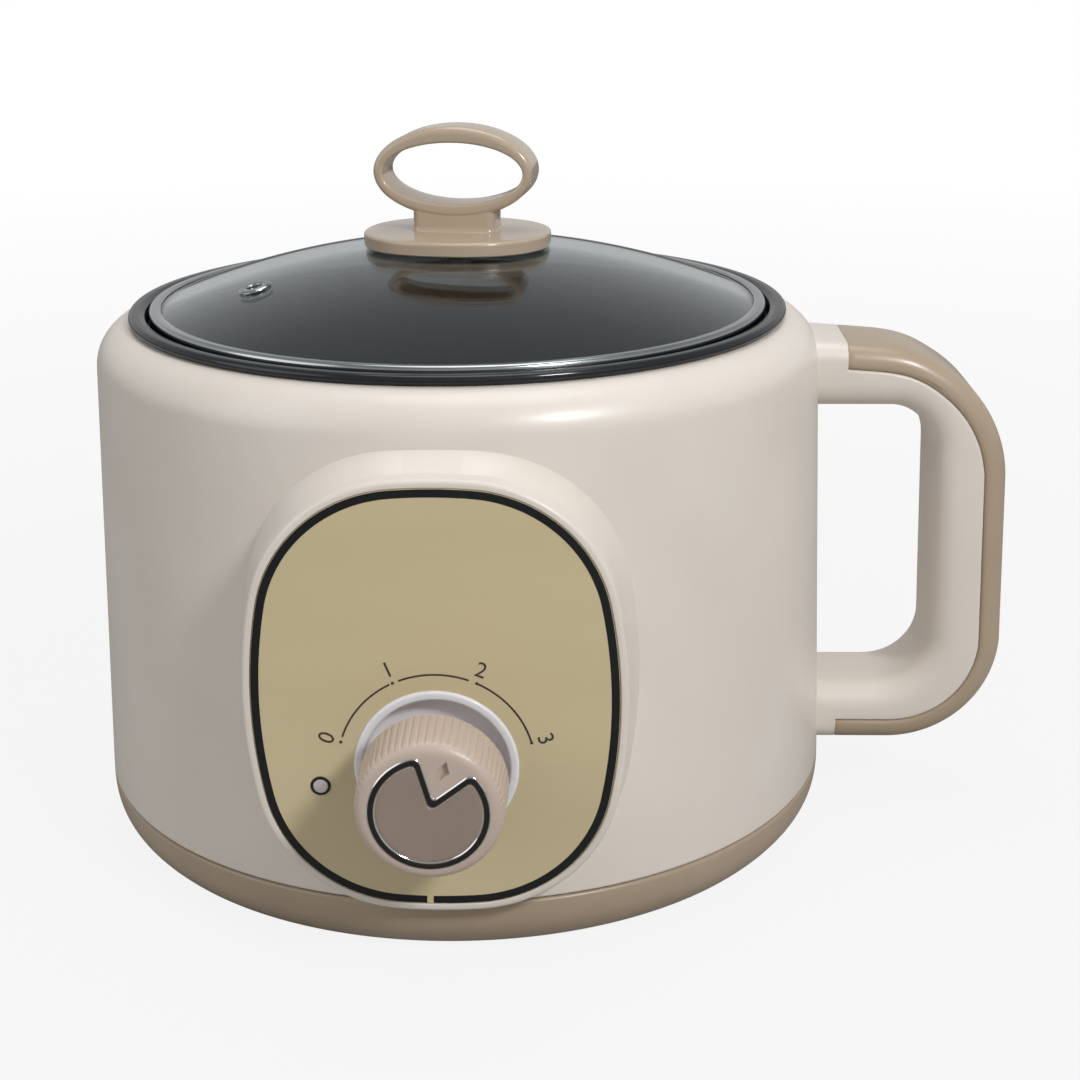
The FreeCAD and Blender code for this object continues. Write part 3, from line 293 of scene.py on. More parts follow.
finishes["lensPlastic"] = glassFinish("lensPlastic", (236, 234, 240), (0.18, 0.3), 0.45)
finishes["bulbGlass"] = glassFinish("bulbGlass", (244, 236, 226), (0.0, 0.05))
print("finishes made:", len(finishes))


# Shell: a tapered drum with a rounded shoulder, a raised boss for the panel and a pad for the inlet

shellSizes = {"bottom": 17.2, "top": 153.5, "footRadius": 110.5, "topRadius": 105.3, "shoulder": 12.0, "wall": 2.5,
              "mouth": 94.4, "mouthRound": 0.8, "seamRound": 0.9, "hem": 5.0, "inside": 4.0, "inletLow": 22.8,
              "inletHigh": 43.2, "inletColumns": 6}


def shellRadius(height):
    # The straight wall: the radius falls evenly from the foot to the top
    s = shellSizes
    return s["footRadius"] - (s["footRadius"] - s["topRadius"]) * (height - s["bottom"]) / (s["top"] - s["bottom"])


def shellDrum():
    s = shellSizes
    corners = [
        (s["footRadius"], s["bottom"], s["seamRound"]),
        (s["topRadius"], s["top"], s["shoulder"]),
        (s["mouth"], s["top"], s["mouthRound"]),
        (s["mouth"], s["top"] - s["hem"], 0),
        (s["topRadius"] - s["wall"] - 2, s["top"] - s["hem"], s["inside"]),
        (s["footRadius"] - s["wall"], s["bottom"], 0.3),
    ]
    line = roundedLine(corners, 14)

    def onWall(a, b, heights):
        share = (np.asarray(heights) - a[1]) / (b[1] - a[1])
        return a + (b - a) * share[:, None]

    low, high = s["inletLow"], s["inletHigh"]
    outer = onWall(line[13], line[14], [low, high, *np.linspace(high, line[14][1], 10)[1:-1]])
    inner = onWall(line[56], line[57], [high, low])
    line = np.concatenate([line[:14], outer, line[14:57], inner, line[57:]])
    rings = joinedBack(circleRings(line, drumPoints))
    # The opening for the inlet: quads left out of both walls, and its own four sides between them
    rows, count = rings.shape[:2]
    faces = ringFaces(rows, count, 0).reshape(rows - 1, count, 4)
    outLow, inHigh = 14, len(outer) + 57
    column = np.argmax(rings[0, :, 1]) + np.arange(-s["inletColumns"], s["inletColumns"] + 1)
    kept = np.ones((rows - 1, count), bool)
    kept[outLow, column[:-1]] = kept[inHigh, column[:-1]] = False

    def side(a, b):
        return np.stack([a[:-1], a[1:], b[1:], b[:-1]], -1)

    nearRows, farRows = np.array([outLow, outLow + 1]) * count, np.array([inHigh + 1, inHigh]) * count
    sides = [side(near + column, far + column) for near, far in zip(nearRows, farRows)]
    sides += [side(nearRows + c, farRows + c) for c in column[[0, -1]]]
    return rings.reshape(-1, 3), np.concatenate([faces[kept]] + sides)


panelSizes = {"plane": 116.0, "height": 76.8, "halfWidth": 46.5, "halfHeight": 56.6, "sideArc": 136.0,
              "endArc": 133.0, "cornerArc": 37.3, "rim": 2.3, "rimRound": 1.2, "edge": 0.25, "draft": 3.2,
              "junction": 1.3, "crown": 2.6, "recess": 0.3, "thick": 1.5, "gap": 0.15, "hole": 20.1}
padSizes = {"clear": 0.12, "share": 0.7, "tuckOut": 0.6, "tuckIn": 0.5}


def panelOutline(perArc=30):
    # Eight arcs that meet tangentially: points and outward directions in the X-Z plane
    p = panelSizes
    sideX, endZ = p["halfWidth"] - p["sideArc"], p["halfHeight"] - p["endArc"]
    sideReach, endReach = p["sideArc"] - p["cornerArc"], p["endArc"] - p["cornerArc"]
    apart = math.hypot(sideX, endZ)
    along = (sideReach ** 2 - endReach ** 2 + apart ** 2) / (2 * apart)
    across = math.sqrt(sideReach ** 2 - along ** 2)
    ux, uz = -sideX / apart, endZ / apart
    cx, cz = sideX + ux * along - uz * across, uz * along + ux * across
    low, high = math.atan2(cz, cx - sideX), math.atan2(cz - endZ, cx)
    half = math.pi
    arcs = [(sideX, 0, p["sideArc"], -low, low), (cx, cz, p["cornerArc"], low, high),
            (0, endZ, p["endArc"], high, half - high), (-cx, cz, p["cornerArc"], half - high, half - low),
            (-sideX, 0, p["sideArc"], half - low, half + low), (-cx, -cz, p["cornerArc"], half + low, half + high),
            (0, -endZ, p["endArc"], half + high, 2 * half - high),
            (cx, -cz, p["cornerArc"], 2 * half - high, 2 * half - low)]
    sweep = np.concatenate([a[3] + (a[4] - a[3]) * np.arange(perArc) / perArc for a in arcs])
    centres = np.concatenate([np.tile([[a[0], a[1], a[2]]], (perArc, 1)) for a in arcs])
    out = unitCircle(sweep)
    return centres[:, :2] + out * centres[:, 2:] + [0, p["height"]], out


def raisedPad(outline, out, plane, steps, draft, junction, side):
    # A pad that stands off the drum: the given (grow, depth) steps, a drafted wall, and a soft foot on the drum
    lean = math.tan(math.radians(draft))
    grow0, depth0 = steps[-1]

    def flat(grow):
        at = outline + out * np.asarray(grow)[..., None]
        return at[:, 0], np.maximum(at[:, 1], shellSizes["bottom"] + padSizes["clear"])

    def drumDepth(x, z):
        return plane - np.sqrt(np.maximum(shellRadius(z) ** 2 - x ** 2, 1))

    def ring(grow, depth):
        x, z = flat(np.broadcast_to(grow, len(out)))
        return np.stack([x, side * (plane - np.broadcast_to(depth, x.shape)), z], -1)

    meet = np.full(len(out), 10.0)
    for _ in range(12):
        x, z = flat(grow0 + (meet - depth0) * lean)
        meet = drumDepth(x, z)
    reach = np.minimum(junction, padSizes["share"] * (meet - depth0))
    growMeet = grow0 + (meet - depth0) * lean
    rings = [ring(g, d) for g, d in steps]
    wallGrow, wallDepth = grow0 + (meet - reach - depth0) * lean, meet - reach
    rings += [ring(grow0 + (wallGrow - grow0) * t, depth0 + (wallDepth - depth0) * t) for t in (0.35, 0.7)]
    landGrow = growMeet + reach
    lx, lz = flat(landGrow)
    landDepth = drumDepth(lx, lz)
    for t in np.linspace(0, 1, 9):
        a, b, c = (1 - t) ** 2, 2 * t * (1 - t), t * t
        rings.append(ring(a * wallGrow + b * growMeet + c * landGrow, a * wallDepth + b * meet + c * landDepth))
    rings.append(ring(landGrow + padSizes["tuckOut"], landDepth + padSizes["tuckIn"]))
    return np.stack(rings)


def panelBoss():
    p = panelSizes
    outline, out = panelOutline()
    r = p["rimRound"]
    steps = [(p["gap"], p["recess"] + p["thick"]), (p["gap"], p["edge"]), (p["gap"] + p["edge"], 0.0)]
    steps += [(p["rim"] - r + r * math.sin(a), r - r * math.cos(a)) for a in quarter(7)]
    foot = p["junction"] + p["crown"] * np.clip(out[:, 1], 0, 1) ** 2
    return joinedBack(raisedPad(outline, out, p["plane"], steps, p["draft"], foot, -1))


inletSizes = {"height": 33.0, "plane": 111.0, "padWidth": 56.0, "padTall": 28.0, "padRound": 6.0, "padInset": 4.0,
              "padEdge": 1.2, "padBack": 3.0, "padDraft": 3.0, "padFoot": 4.0,
              "flangeWidth": 50.0, "flangeTall": 23.0, "flange": 3.0, "socketWidth": 24.5, "socketTall": 17.0,
              "socketCut": 4.2, "socketRound": 1.2, "socketDepth": 15.0, "lead": 0.4, "flangeRound": 3.0,
              "edge": 0.8, "bodyWidth": 27.5, "bodyTall": 20.0, "bodyRound": 1.5, "bodyDepth": 18.0}


def roundedBox(width, tall, radius, height, perCorner=12):
    # A rounded rectangle in the X-Z plane with its outward directions, evenly split between four corners
    angle = np.concatenate([q * math.pi / 2 + quarter(perCorner) for q in range(4)])
    out = unitCircle(angle)
    signX = np.repeat([1, -1, -1, 1], perCorner)
    signZ = np.repeat([1, 1, -1, -1], perCorner)
    radius = np.minimum(np.broadcast_to(radius, (4,)), min(width, tall) / 2).repeat(perCorner)
    centre = np.stack([signX * (width / 2 - radius), signZ * (tall / 2 - radius) + height], -1)
    return centre + out * radius[:, None], out


def inletPad():
    s = inletSizes
    outline, out = roundedBox(s["padWidth"], s["padTall"], s["padRound"], s["height"])
    steps = [(-s["padInset"], s["padBack"]), (-s["padInset"], 0.0)]
    steps += [(s["padEdge"] * (math.sin(a) - 1), s["padEdge"] * (1 - math.cos(a))) for a in quarter(5)]
    return joinedBack(raisedPad(outline, out, s["plane"], steps, s["padDraft"], s["padFoot"], 1))


makePiece("shell", [panelBoss(), inletPad()], "creamPlastic", "housing",
          ["outer_shell"], extra=[shellDrum()])
print("shell made")


# Base: a convex ring below the seam, with the moulded floor of the tray inside it

baseSizes = {"bottom": 2.5, "top": 16.9, "topRadius": 110.5, "bottomRadius": 105.0, "swell": 2.9, "topRound": 0.9,
             "wall": 2.6, "floorTop": 12.0}


def baseRing():
    # The radius falls from the top as a power of the share of the height left: top - drop * share ^ swell
    s = baseSizes
    z = np.linspace(s["bottom"], s["top"] - s["topRound"], 16)
    share = (s["top"] - z) / (s["top"] - s["bottom"])
    radii = s["topRadius"] - (s["topRadius"] - s["bottomRadius"]) * share ** s["swell"]
    outside = np.stack([radii, z], -1)
    arc = quarter(6)[1:]
    edge = np.stack([radii[-1] - s["topRound"] * (1 - np.cos(arc)), z[-1] + s["topRound"] * np.sin(arc)], -1)
    inside = s["topRadius"] - s["wall"] * 2
    rest = [(inside, s["top"]), (inside - 3, s["bottom"] + 3), (s["bottomRadius"] - s["wall"], s["bottom"] + 2.2),
            (s["bottomRadius"] - 0.5, s["bottom"] + 0.05)]
    return joinedBack(circleRings(np.concatenate([outside, edge, rest]), drumPoints))


def trayFloor():
    # The part of the tray that shows from below, taken from its solid: the faces inside the bottom's edge
    points, corners = meshArrays(nodes["base_tray"].data)
    points = points / millimetre
    radius = np.hypot(points[:, 0], points[:, 1])
    inner = radius[corners].max(1) < baseSizes["bottomRadius"] + 0.05
    keep = inner & (points[corners][:, :, 2].max(1) < baseSizes["floorTop"])
    return points, corners[keep]


makePiece("baseRing", [baseRing()], "taupePlastic", "housing", ["base_tray"],
          extra=[trayFloor()])
print("base made")


# Pot: rolled rim, a step that carries the lid, and a rounded floor

potSizes = {"rimTop": 156.3, "rimBottom": 153.6, "rimRadius": 96.0, "step": 91.2, "seat": 151.6, "mouth": 86.0,
            "floorRadius": 84.6, "floor": 51.3, "corner": 12.0, "wall": 2.0, "dish": 0.7, "middle": 6.0,
            "neck": 94.0}


def potRings():
    s = potSizes
    corners = [
        (s["rimRadius"], s["rimTop"], 1.35),
        (s["rimRadius"] - 2.9, s["rimTop"], 2.0),
        (s["step"], s["rimTop"] - s["dish"], 0.7),
        (s["step"], s["seat"], 0.8),
        (s["mouth"], s["seat"], 0.8),
        (s["floorRadius"], s["floor"], s["corner"]),
        (s["middle"], s["floor"], 0),
        (s["middle"], s["floor"] - s["wall"], 0),
        (s["floorRadius"] + 1.6, s["floor"] - s["wall"], s["corner"]),
        (s["mouth"] + 2.0, s["seat"] - 4.0, 2.0),
        (s["neck"], s["seat"] - s["wall"], 1.0),
        (s["neck"], s["rimBottom"], 0.2),
        (s["rimRadius"], s["rimBottom"], 1.3),
    ]
    line = roundedLine(corners, 9)
    return joinedBack(circleRings(line, drumPoints))


def potFloor():
    # A shallow embossed ring fills the middle of the floor
    s = potSizes
    top = [(s["middle"], s["floor"]), (5.2, s["floor"]), (2.5, s["floor"] + 0.02)]
    under = [(2.5, s["floor"] - s["wall"]), (s["middle"], s["floor"] - s["wall"])]
    return capped(circleRings(top, drumPoints))[1:], capped(circleRings(under, drumPoints))[:-1]


floorTop, floorUnder = potFloor()
makePiece("pot", [potRings(), floorTop, floorUnder], "potCoating", "housing", ["inner_pot"])
print("pot made")


# Lid: domed pane, steel band, vent eyelet, oval foot and looped knob

lidSizes = {"domeRadius": 237.0, "centre": -63.8, "glass": 3.5, "edge": 88.9, "edgeHalf": 1.2, "hole": 2.4,
            "bandOuter": 90.05, "bandBottom": 151.9, "bandTop": 157.4, "lip": 86.6,
            "ventX": -55.2, "ventY": -29.1, "flange": 5.3, "bore": 2.2, "tube": 3.0}


def domeLevel(radius, depth=0.0):
    return lidSizes["centre"] + np.sqrt((lidSizes["domeRadius"] - depth) ** 2 - np.asarray(radius, float) ** 2)


def paneRings():
    s = lidSizes
    out = np.linspace(s["hole"], s["edge"] - 0.5, 40)
    top = np.stack([out, domeLevel(out)], -1)
    middle = domeLevel(s["edge"], s["glass"] / 2)
    edge = np.array([(s["edge"], middle + s["edgeHalf"]), (s["edge"], middle - s["edgeHalf"])])
    under = np.stack([out[::-1], domeLevel(out[::-1], s["glass"])], -1)
    return joinedBack(circleRings(np.concatenate([top, edge, under]), 240))


def bandRings():
    s = lidSizes
    glassTop = float(domeLevel(s["edge"]))
    lipUnder = float(domeLevel(s["lip"])) + 0.03
    corners = [
        (s["bandOuter"], s["bandBottom"], 0.4), (s["bandOuter"], s["bandTop"], 1.15),
        (s["bandOuter"] - 2.3, s["bandTop"] - 0.1, 1.0), (s["lip"], lipUnder + 0.22, 0.15),
        (s["lip"] + 0.1, lipUnder, 0), (s["edge"] + 0.1, glassTop + 0.06, 0.1),
        (s["edge"] + 0.1, s["bandBottom"], 0.1),
    ]
    return joinedBack(circleRings(roundedLine(corners, 7), drumPoints))


def atVent(rings):
    # Tilts and moves a shape from Z to the vent, square to the dome
    s = lidSizes
    reach = math.hypot(s["ventX"], s["ventY"])
    heading = math.atan2(s["ventY"], s["ventX"])
    spin = Matrix.Rotation(heading, 3, "Z") @ Matrix.Rotation(math.asin(reach / s["domeRadius"]), 3, "Y")
    return rings @ np.array(spin).T + [s["ventX"], s["ventY"], float(domeLevel(reach))]


def eyeletRings():
    s = lidSizes
    under = -s["glass"] - 0.35
    corners = [
        (s["bore"], 0.9, 0.5), (s["flange"] - 1.2, 0.95, 0.8), (s["flange"], 0.12, 0.25), (s["tube"], 0.12, 0),
        (s["tube"], under, 0), (s["flange"] - 1.3, under, 0.2), (s["flange"] - 1.3, under - 0.6, 0.2),
        (s["bore"], under - 0.6, 0.2),
    ]
    return atVent(joinedBack(circleRings(roundedLine(corners, 6), 48)))


footSizes = {"length": 54.5, "depth": 49.0, "top": 176.9, "edgeRound": 0.9, "crown": 0.25, "power": 2.15,
             "turn": -8.0}


def lidTurned(rings):
    # Turned about Z with the knob
    return rings @ np.array(Matrix.Rotation(math.radians(footSizes["turn"]), 3, "Z")).T


def footRings():
    # A superellipse outline shrunk ring by ring: |x/a|^n + |y/b|^n = 1
    s = footSizes
    angle = np.arange(144) * fullTurn / 144
    turn = unitCircle(angle)
    outline = np.sign(turn) * np.abs(turn) ** (2 / s["power"]) * [s["length"] / 2, s["depth"] / 2]
    size = np.linalg.norm(outline, axis=1)

    def ring(inset, level):
        return lying(outline * (1 - inset / size)[:, None], level)

    under = [ring(inset, domeLevel(size - inset) + 0.25) for inset in (23.0, 16.0, 9.0, 3.5, 1.4)]
    r = s["edgeRound"]
    sides = [ring(0.35, domeLevel(size) + 0.75), ring(0.0, domeLevel(size) + 1.15), ring(0.0, s["top"] - 1.6)]
    shoulder = s["top"] - s["crown"]
    sides += [ring(r - r * math.cos(a), shoulder - r + r * math.sin(a)) for a in quarter(7)]
    tops = [ring(i, shoulder + s["crown"] * min(1, i / 12)) for i in (4.0, 8.0, 12.0, 18.0)]
    return lidTurned(capped(np.stack(under + sides + tops)))


loopSizes = {"width": 46.5, "height": 25.9, "depth": 14.0, "side": 2.8, "end": 4.2, "heavier": 0.35,
             "centre": 193.7, "outerRound": 1.9, "innerRound": 0.8, "stemWidth": 24.0, "stemDepth": 13.2,
             "stemFoot": 176.6, "stemTop": 183.4, "stemRound": 2.4, "footFlare": 1.2}


def loopRings():
    # A rounded band carried round an ellipse: thin at the sides, thicker above and below
    s = loopSizes
    t = (np.arange(160) * fullTurn / 160)[:, None]
    thick = s["side"] + (s["end"] - s["side"]) * np.sin(t) ** 2 + s["heavier"] * np.sin(t)
    a, b = s["width"] / 2 - s["side"] / 2, s["height"] / 2 - s["end"] / 2
    nx, nz = b * np.cos(t), a * np.sin(t)
    length = np.hypot(nx, nz)
    nx, nz = nx / length, nz / length
    corner = np.concatenate([q * math.pi / 2 + quarter(8) for q in range(4)])
    signT = np.repeat([1, -1, -1, 1], 8)
    signY = np.repeat([1, 1, -1, -1], 8)
    rounding = np.where(signT > 0, np.minimum(s["outerRound"], thick / 2), s["innerRound"])
    along = signT * (thick / 2 - rounding) + rounding * np.cos(corner)
    across = signY * (s["depth"] / 2 - rounding) + rounding * np.sin(corner)
    x = a * np.cos(t) + nx * along
    z = s["centre"] + b * np.sin(t) + nz * along
    return lidTurned(joinedBack(np.stack([x, across, z], -1)))


def stemRings():
    # A rounded block whose outline flares by a quarter circle at its foot
    s = loopSizes
    rise = s["stemTop"] - s["stemFoot"]
    rings = []
    for t in np.concatenate([np.linspace(0, 0.25, 7), [0.6, 1.0]]):
        flare = s["footFlare"] * (1 - math.sqrt(max(0.0, 1 - (1 - min(1.0, t / 0.25)) ** 2)))
        outline, _ = roundedBox(s["stemWidth"] + 2 * flare, s["stemDepth"] + 2 * flare, s["stemRound"] + flare, 0)
        rings.append(lying(outline, s["stemFoot"] + rise * t))
    return lidTurned(capped(np.stack(rings)))


makePiece("lidPane", [paneRings()], "lidPane", "lid", ["lid_glass"])
makePiece("lidBand", [bandRings()], "bandSteel", "lid", ["lid_band"])
makePiece("ventEyelet", [eyeletRings()], "bandSteel", "lid", ["vent_eyelet"])
makePiece("knobFoot", [footRings()], "lidKnobPlastic", "lid", ["lid_knob_plate"])
makePiece("knobLoop", [loopRings(), stemRings()], "lidKnobPlastic", "lid",
          ["lid_knob_loop"])
print("lid made")


# Handle: a cream core in a D and a taupe cover along its outer side

handleSizes = {"reach": 163.8, "top": 144.7, "bottom": 21.1, "half": 17.0, "grip": 142.2, "gripTop": 126.7,
               "gripBottom": 39.4, "root": 101.6, "topCorner": 40.0, "bottomCorner": 33.0, "gripTopCorner": 14.0,
               "gripBottomCorner": 16.0, "outerRound": 5.4, "gripRound": 8.0, "cover": 7.0, "coverTop": 113.3,
               "coverBottom": 114.6, "coverFirst": 0.5, "coverLast": 4.5, "seam": 0.8, "coverSeam": 1.3,
               "lean": 2.4, "leanFrom": 54.0, "leanRise": 66.0, "leanStart": 116.0, "leanSpan": 28.0,
               "rootRise": 1.6, "riseEnd": 126.0}


def handleLine(reach, top, bottom, topCorner, bottomCorner, t):
    # Out along the top arm (0-1), round its corner (1-2), down (2-3), round (3-4) and back along the bottom arm
    # (4-5); the cover starts half way along the top arm and ends half way along the bottom one
    h = handleSizes
    ta = np.clip(t - 1, 0, 1) * math.pi / 2
    tb = np.clip(t - 3, 0, 1) * math.pi / 2
    x = np.interp(t, [0, 0.5, 1], [h["root"], h["coverTop"], reach - topCorner]) + topCorner * np.sin(ta)
    x = np.where(t > 3, reach - bottomCorner * (1 - np.cos(tb)), x)
    x = np.where(t > 4, np.interp(t, [4, 4.5, 5], [reach - bottomCorner, h["coverBottom"], h["root"]]), x)
    z = top - topCorner * (1 - np.cos(ta)) - (top - topCorner - bottom - bottomCorner) * np.clip(t - 2, 0, 1)
    z = z - bottomCorner * np.sin(tb)
    lean = h["lean"] * np.clip((z - h["leanFrom"]) / h["leanRise"], 0, 1.3)
    lean = lean * np.clip((x - h["leanStart"]) / h["leanSpan"], 0, 1)
    return np.stack([x - lean, z], -1)


def raisedRoot(line):
    # The outside of the top arm climbs a little towards the shell
    h = handleSizes
    rise = h["rootRise"] * np.clip((h["riseEnd"] - line[:, 0]) / (h["riseEnd"] - h["root"] - 3), 0, 1)
    return line + np.stack([rise * 0, rise * (line[:, 1] > h["top"] - 20)], -1)


def handleSection(near, far, nearRound, farRound, split, steps=8):
    # A rounded box between two lines, half the handle's width to each side, with one more point on its flat side
    half = handleSizes["half"]
    span = far - near
    length = np.linalg.norm(span, axis=1)[:, None]
    ahead = span / length
    q = quarter(steps)
    nearRound, farRound = np.broadcast_to(nearRound, length.shape), np.broadcast_to(farRound, length.shape)
    level = length * 0
    s = np.concatenate([nearRound * (1 - np.cos(q)), level + split, length - farRound * (1 - np.cos(q[::-1]))], 1)
    y = np.concatenate([nearRound * (np.sin(q) - 1), level, farRound * (np.sin(q[::-1]) - 1)], 1) + half
    s, y = np.concatenate([s, s[:, ::-1]], 1), np.concatenate([y, -y[:, ::-1]], 1)
    x = near[:, 0:1] + ahead[:, 0:1] * s
    z = near[:, 1:2] + ahead[:, 1:2] * s
    return np.stack([x, y, z], -1)


def handleLines(t):
    h = handleSizes
    outer = handleLine(h["reach"], h["top"], h["bottom"], h["topCorner"], h["bottomCorner"], t)
    under = handleLine(h["reach"] - h["cover"], h["top"] - h["cover"], h["bottom"] + h["cover"],
                       h["topCorner"] - h["cover"], h["bottomCorner"] - h["cover"], t)
    grip = handleLine(h["grip"], h["gripTop"], h["gripBottom"], h["gripTopCorner"], h["gripBottomCorner"], t)
    return raisedRoot(outer), raisedRoot(under), grip


def between(stops, counts):
    # Even steps from each stop to the next
    spans = [np.linspace(a, b, n)[1:] for a, b, n in zip(stops, stops[1:], counts)]
    return np.concatenate([stops[:1]] + spans)


def coreRings():
    h = handleSizes
    first, last = h["coverFirst"], h["coverLast"]
    before, after = np.linspace(0, first, 5), np.linspace(last, 5, 5)
    middle = between([first, 1, 2, 3, 4, last], [5, 26, 8, 26, 5])
    sections = []
    for t, line, rounding, split in ((before, 0, h["outerRound"], h["cover"]), (middle, 1, h["seam"], 0),
                                     (after, 0, h["outerRound"], h["cover"])):
        lines = handleLines(t)
        sections.append(handleSection(lines[line], lines[2], rounding, h["gripRound"], split + h["seam"]))
    return capped(np.concatenate(sections))


def coverRings():
    h = handleSizes
    first, last, eps = h["coverFirst"], h["coverLast"], 0.02
    t = np.concatenate([[first, first + eps], between([first, 1, 2, 3, 4, last], [6, 30, 8, 30, 6])[1:-1],
                        [last - eps, last]])
    outer, under, _ = handleLines(t)
    under = under + (outer - under) * 0.006
    rings = handleSection(outer, under, h["outerRound"], h["coverSeam"], h["cover"] - 1.45)
    middle = rings.mean(1, keepdims=True)
    ends = [0, -1]
    rings[ends] = middle[ends] + (rings[ends] - middle[ends]) * [1, 0.985, 0.94]
    return capped(rings)


makePiece("handleCore", [coreRings()], "creamPlastic", "housing", ["handle_core"])
makePiece("handleCover", [coverRings()], "taupePlastic", "housing", ["handle_cover"])
print("handle made")


# Dial: panel with its border and print, cup, ribbed knob, bright ring and lamp

dialSizes = {"face": 115.7, "height": 59.5, "turn": 18.5}


def toDial(points, x=0.0, height=None):
    # From the dial's own axes (right, up, out) to the pot's: out becomes -Y
    up = dialSizes["height"] if height is None else height
    return np.stack([points[..., 0] + x, -dialSizes["face"] - points[..., 2], points[..., 1] + up], -1)


def dialTurned(points):
    angle = -math.radians(dialSizes["turn"])
    c, s = math.cos(angle), math.sin(angle)
    return points @ np.array([[c, s, 0], [-s, c, 0], [0, 0, 1]])


borderSizes = {"width": 2.2, "proud": 0.06, "notch": 1.4, "notchX": -2.5}


def panelRings():
    # The sheet runs from its outline to the round hole for the cup: each ring is a share of the way between them
    p = panelSizes
    outline, out = panelOutline()
    front, back = p["plane"] - p["recess"], p["plane"] - p["recess"] - p["thick"]
    middle = np.array([0, dialSizes["height"]])
    ahead = (outline - middle) / np.linalg.norm(outline - middle, axis=1)[:, None]
    hole = middle + ahead * p["hole"]

    def ring(share, depth, grow=0.0):
        at = outline + (hole - outline) * share + out * grow
        return standing(at, -depth)

    rings = [ring(0, back), ring(0, front - 0.1), ring(0, front, -0.1)]
    rings += [ring(share, front) for share in (0.1, 0.3, 0.5, 0.7, 0.9, 1.0)]
    rings += [ring(1, back)]
    return joinedBack(np.stack(rings))


def borderRings():
    # The dark line inside the panel's edge, with a small gap at the bottom
    p, s = panelSizes, borderSizes
    outline, out = panelOutline(60)
    fromGap = outline[:, 1] + np.abs(outline[:, 0] - s["notchX"])
    order = np.roll(np.arange(len(outline)), -int(np.argmin(fromGap)))
    outline, out = outline[order], out[order]
    keep = (np.abs(outline[:, 0] - s["notchX"]) > s["notch"] / 2) | (outline[:, 1] > p["height"])
    outline, out = outline[keep], out[keep]
    front = p["plane"] - p["recess"]
    corners = [(-0.15, 0.0), (-0.15, s["proud"]), (-s["width"], s["proud"]), (-s["width"], 0.0)]
    return capped(np.stack([standing(outline + out * grow, -front - rise) for grow, rise in corners], 1))


cupSizes = {"lip": 21.0, "inner": 18.9, "bottom": 17.9, "outer": 20.0, "proud": 0.8, "seat": 0.03, "depth": 4.0,
            "floor": 2.0, "hole": 5.2}


def cupRings():
    s = cupSizes
    corners = [
        (s["hole"], -s["depth"], 0), (s["bottom"], -s["depth"], 1.6), (s["inner"] - 0.2, s["proud"], 0.75),
        (s["lip"], s["proud"], 0.75), (s["lip"], s["seat"], 0.1), (s["outer"], s["seat"], 0),
        (s["outer"] - 0.2, -s["depth"] - s["floor"], 1.0),
        (s["hole"], -s["depth"] - s["floor"], 0),
    ]
    return toDial(joinedBack(circleRings(roundedLine(corners, 7), 144)))


knobSizes = {"rear": 18.8, "front": 18.3, "back": 9.3, "face": 25.8, "edge": 3.0, "ribs": 60, "grooveDepth": 0.28,
             "grooveShare": 0.55, "flat": 14.8, "hub": 9.5, "hubFoot": -0.2, "bore": 3.2, "boreTop": 13.4,
             "mark": 11.85, "markLength": 5.4, "markWidth": 3.3, "markDepth": 1.3}


def knobRings():
    # A drum whose radius dips into a V at each groove; the dip fades over the rounded front edge
    s = knobSizes
    line = roundedLine([
        (s["bore"], s["boreTop"], 0), (s["bore"], s["hubFoot"], 0), (s["hub"], s["hubFoot"], 0.4),
        (s["hub"], s["back"], 0.6), (s["rear"], s["back"], 0.5), (s["front"], s["face"], s["edge"]),
        (s["flat"], s["face"], 0),
    ], 9, closed=False)
    count = s["ribs"] * 12
    rings = circleRings(line, count)
    angle = np.arange(count) * fullTurn / count
    phase = np.abs((angle * s["ribs"] / fullTurn) % 1 - 0.5) * 2
    dip = np.clip(1 - phase / s["grooveShare"], 0, 1) * s["grooveDepth"]
    onWall = (line[:, 0] > s["front"] - 1.3) & (line[:, 1] > s["back"] + 0.3)
    fade = np.where(onWall, np.clip((s["face"] - 0.6 - line[:, 1]) / 1.8, 0, 1), 0)[:, None]
    scale = 1 - fade * dip[None] / np.maximum(line[:, 0:1], 1)
    rings[..., :2] *= scale[..., None]
    return rings


def knobFace():
    # The flat front with a diamond pit: a sheet filled between the rim and the diamond, then the pit's walls
    s = knobSizes
    count = s["ribs"] * 12
    angle = np.arange(count) * fullTurn / count
    rim = np.stack([s["flat"] * np.cos(angle), s["flat"] * np.sin(angle), np.full(count, s["face"])], -1)
    l, w = s["markLength"] / 2, s["markWidth"] / 2
    top = np.array([(0, s["mark"] - l, 0), (w, s["mark"], 0), (0, s["mark"] + l, 0), (-w, s["mark"], 0)])
    top = top + [0, 0, s["face"]]
    pit = (top - [0, s["mark"], 0]) * [0.72, 0.82, 1] + [0, s["mark"], -s["markDepth"]]
    work = bmesh.new()
    rimVerts = [work.verts.new(p) for p in rim.tolist()]
    topVerts = [work.verts.new(p) for p in top.tolist()]
    pitVerts = [work.verts.new(p) for p in pit.tolist()]
    edges = [work.edges.new((v[i], v[(i + 1) % len(v)])) for v in (rimVerts, topVerts) for i in range(len(v))]
    bmesh.ops.triangle_fill(work, edges=edges, use_beauty=True)
    for i in range(4):
        k = (i + 1) % 4
        work.faces.new((topVerts[i], topVerts[k], pitVerts[k], pitVerts[i]))
    work.faces.new(pitVerts)
    bmesh.ops.triangulate(work, faces=work.faces)
    work.verts.index_update()
    points = np.array([v.co for v in work.verts])
    faces = np.array([[v.index for v in f.verts] for f in work.faces])
    work.free()
    return points, faces


def boreTop():
    s = knobSizes
    return capped(circleRings([(s["bore"], s["boreTop"])], s["ribs"] * 12))[1:]


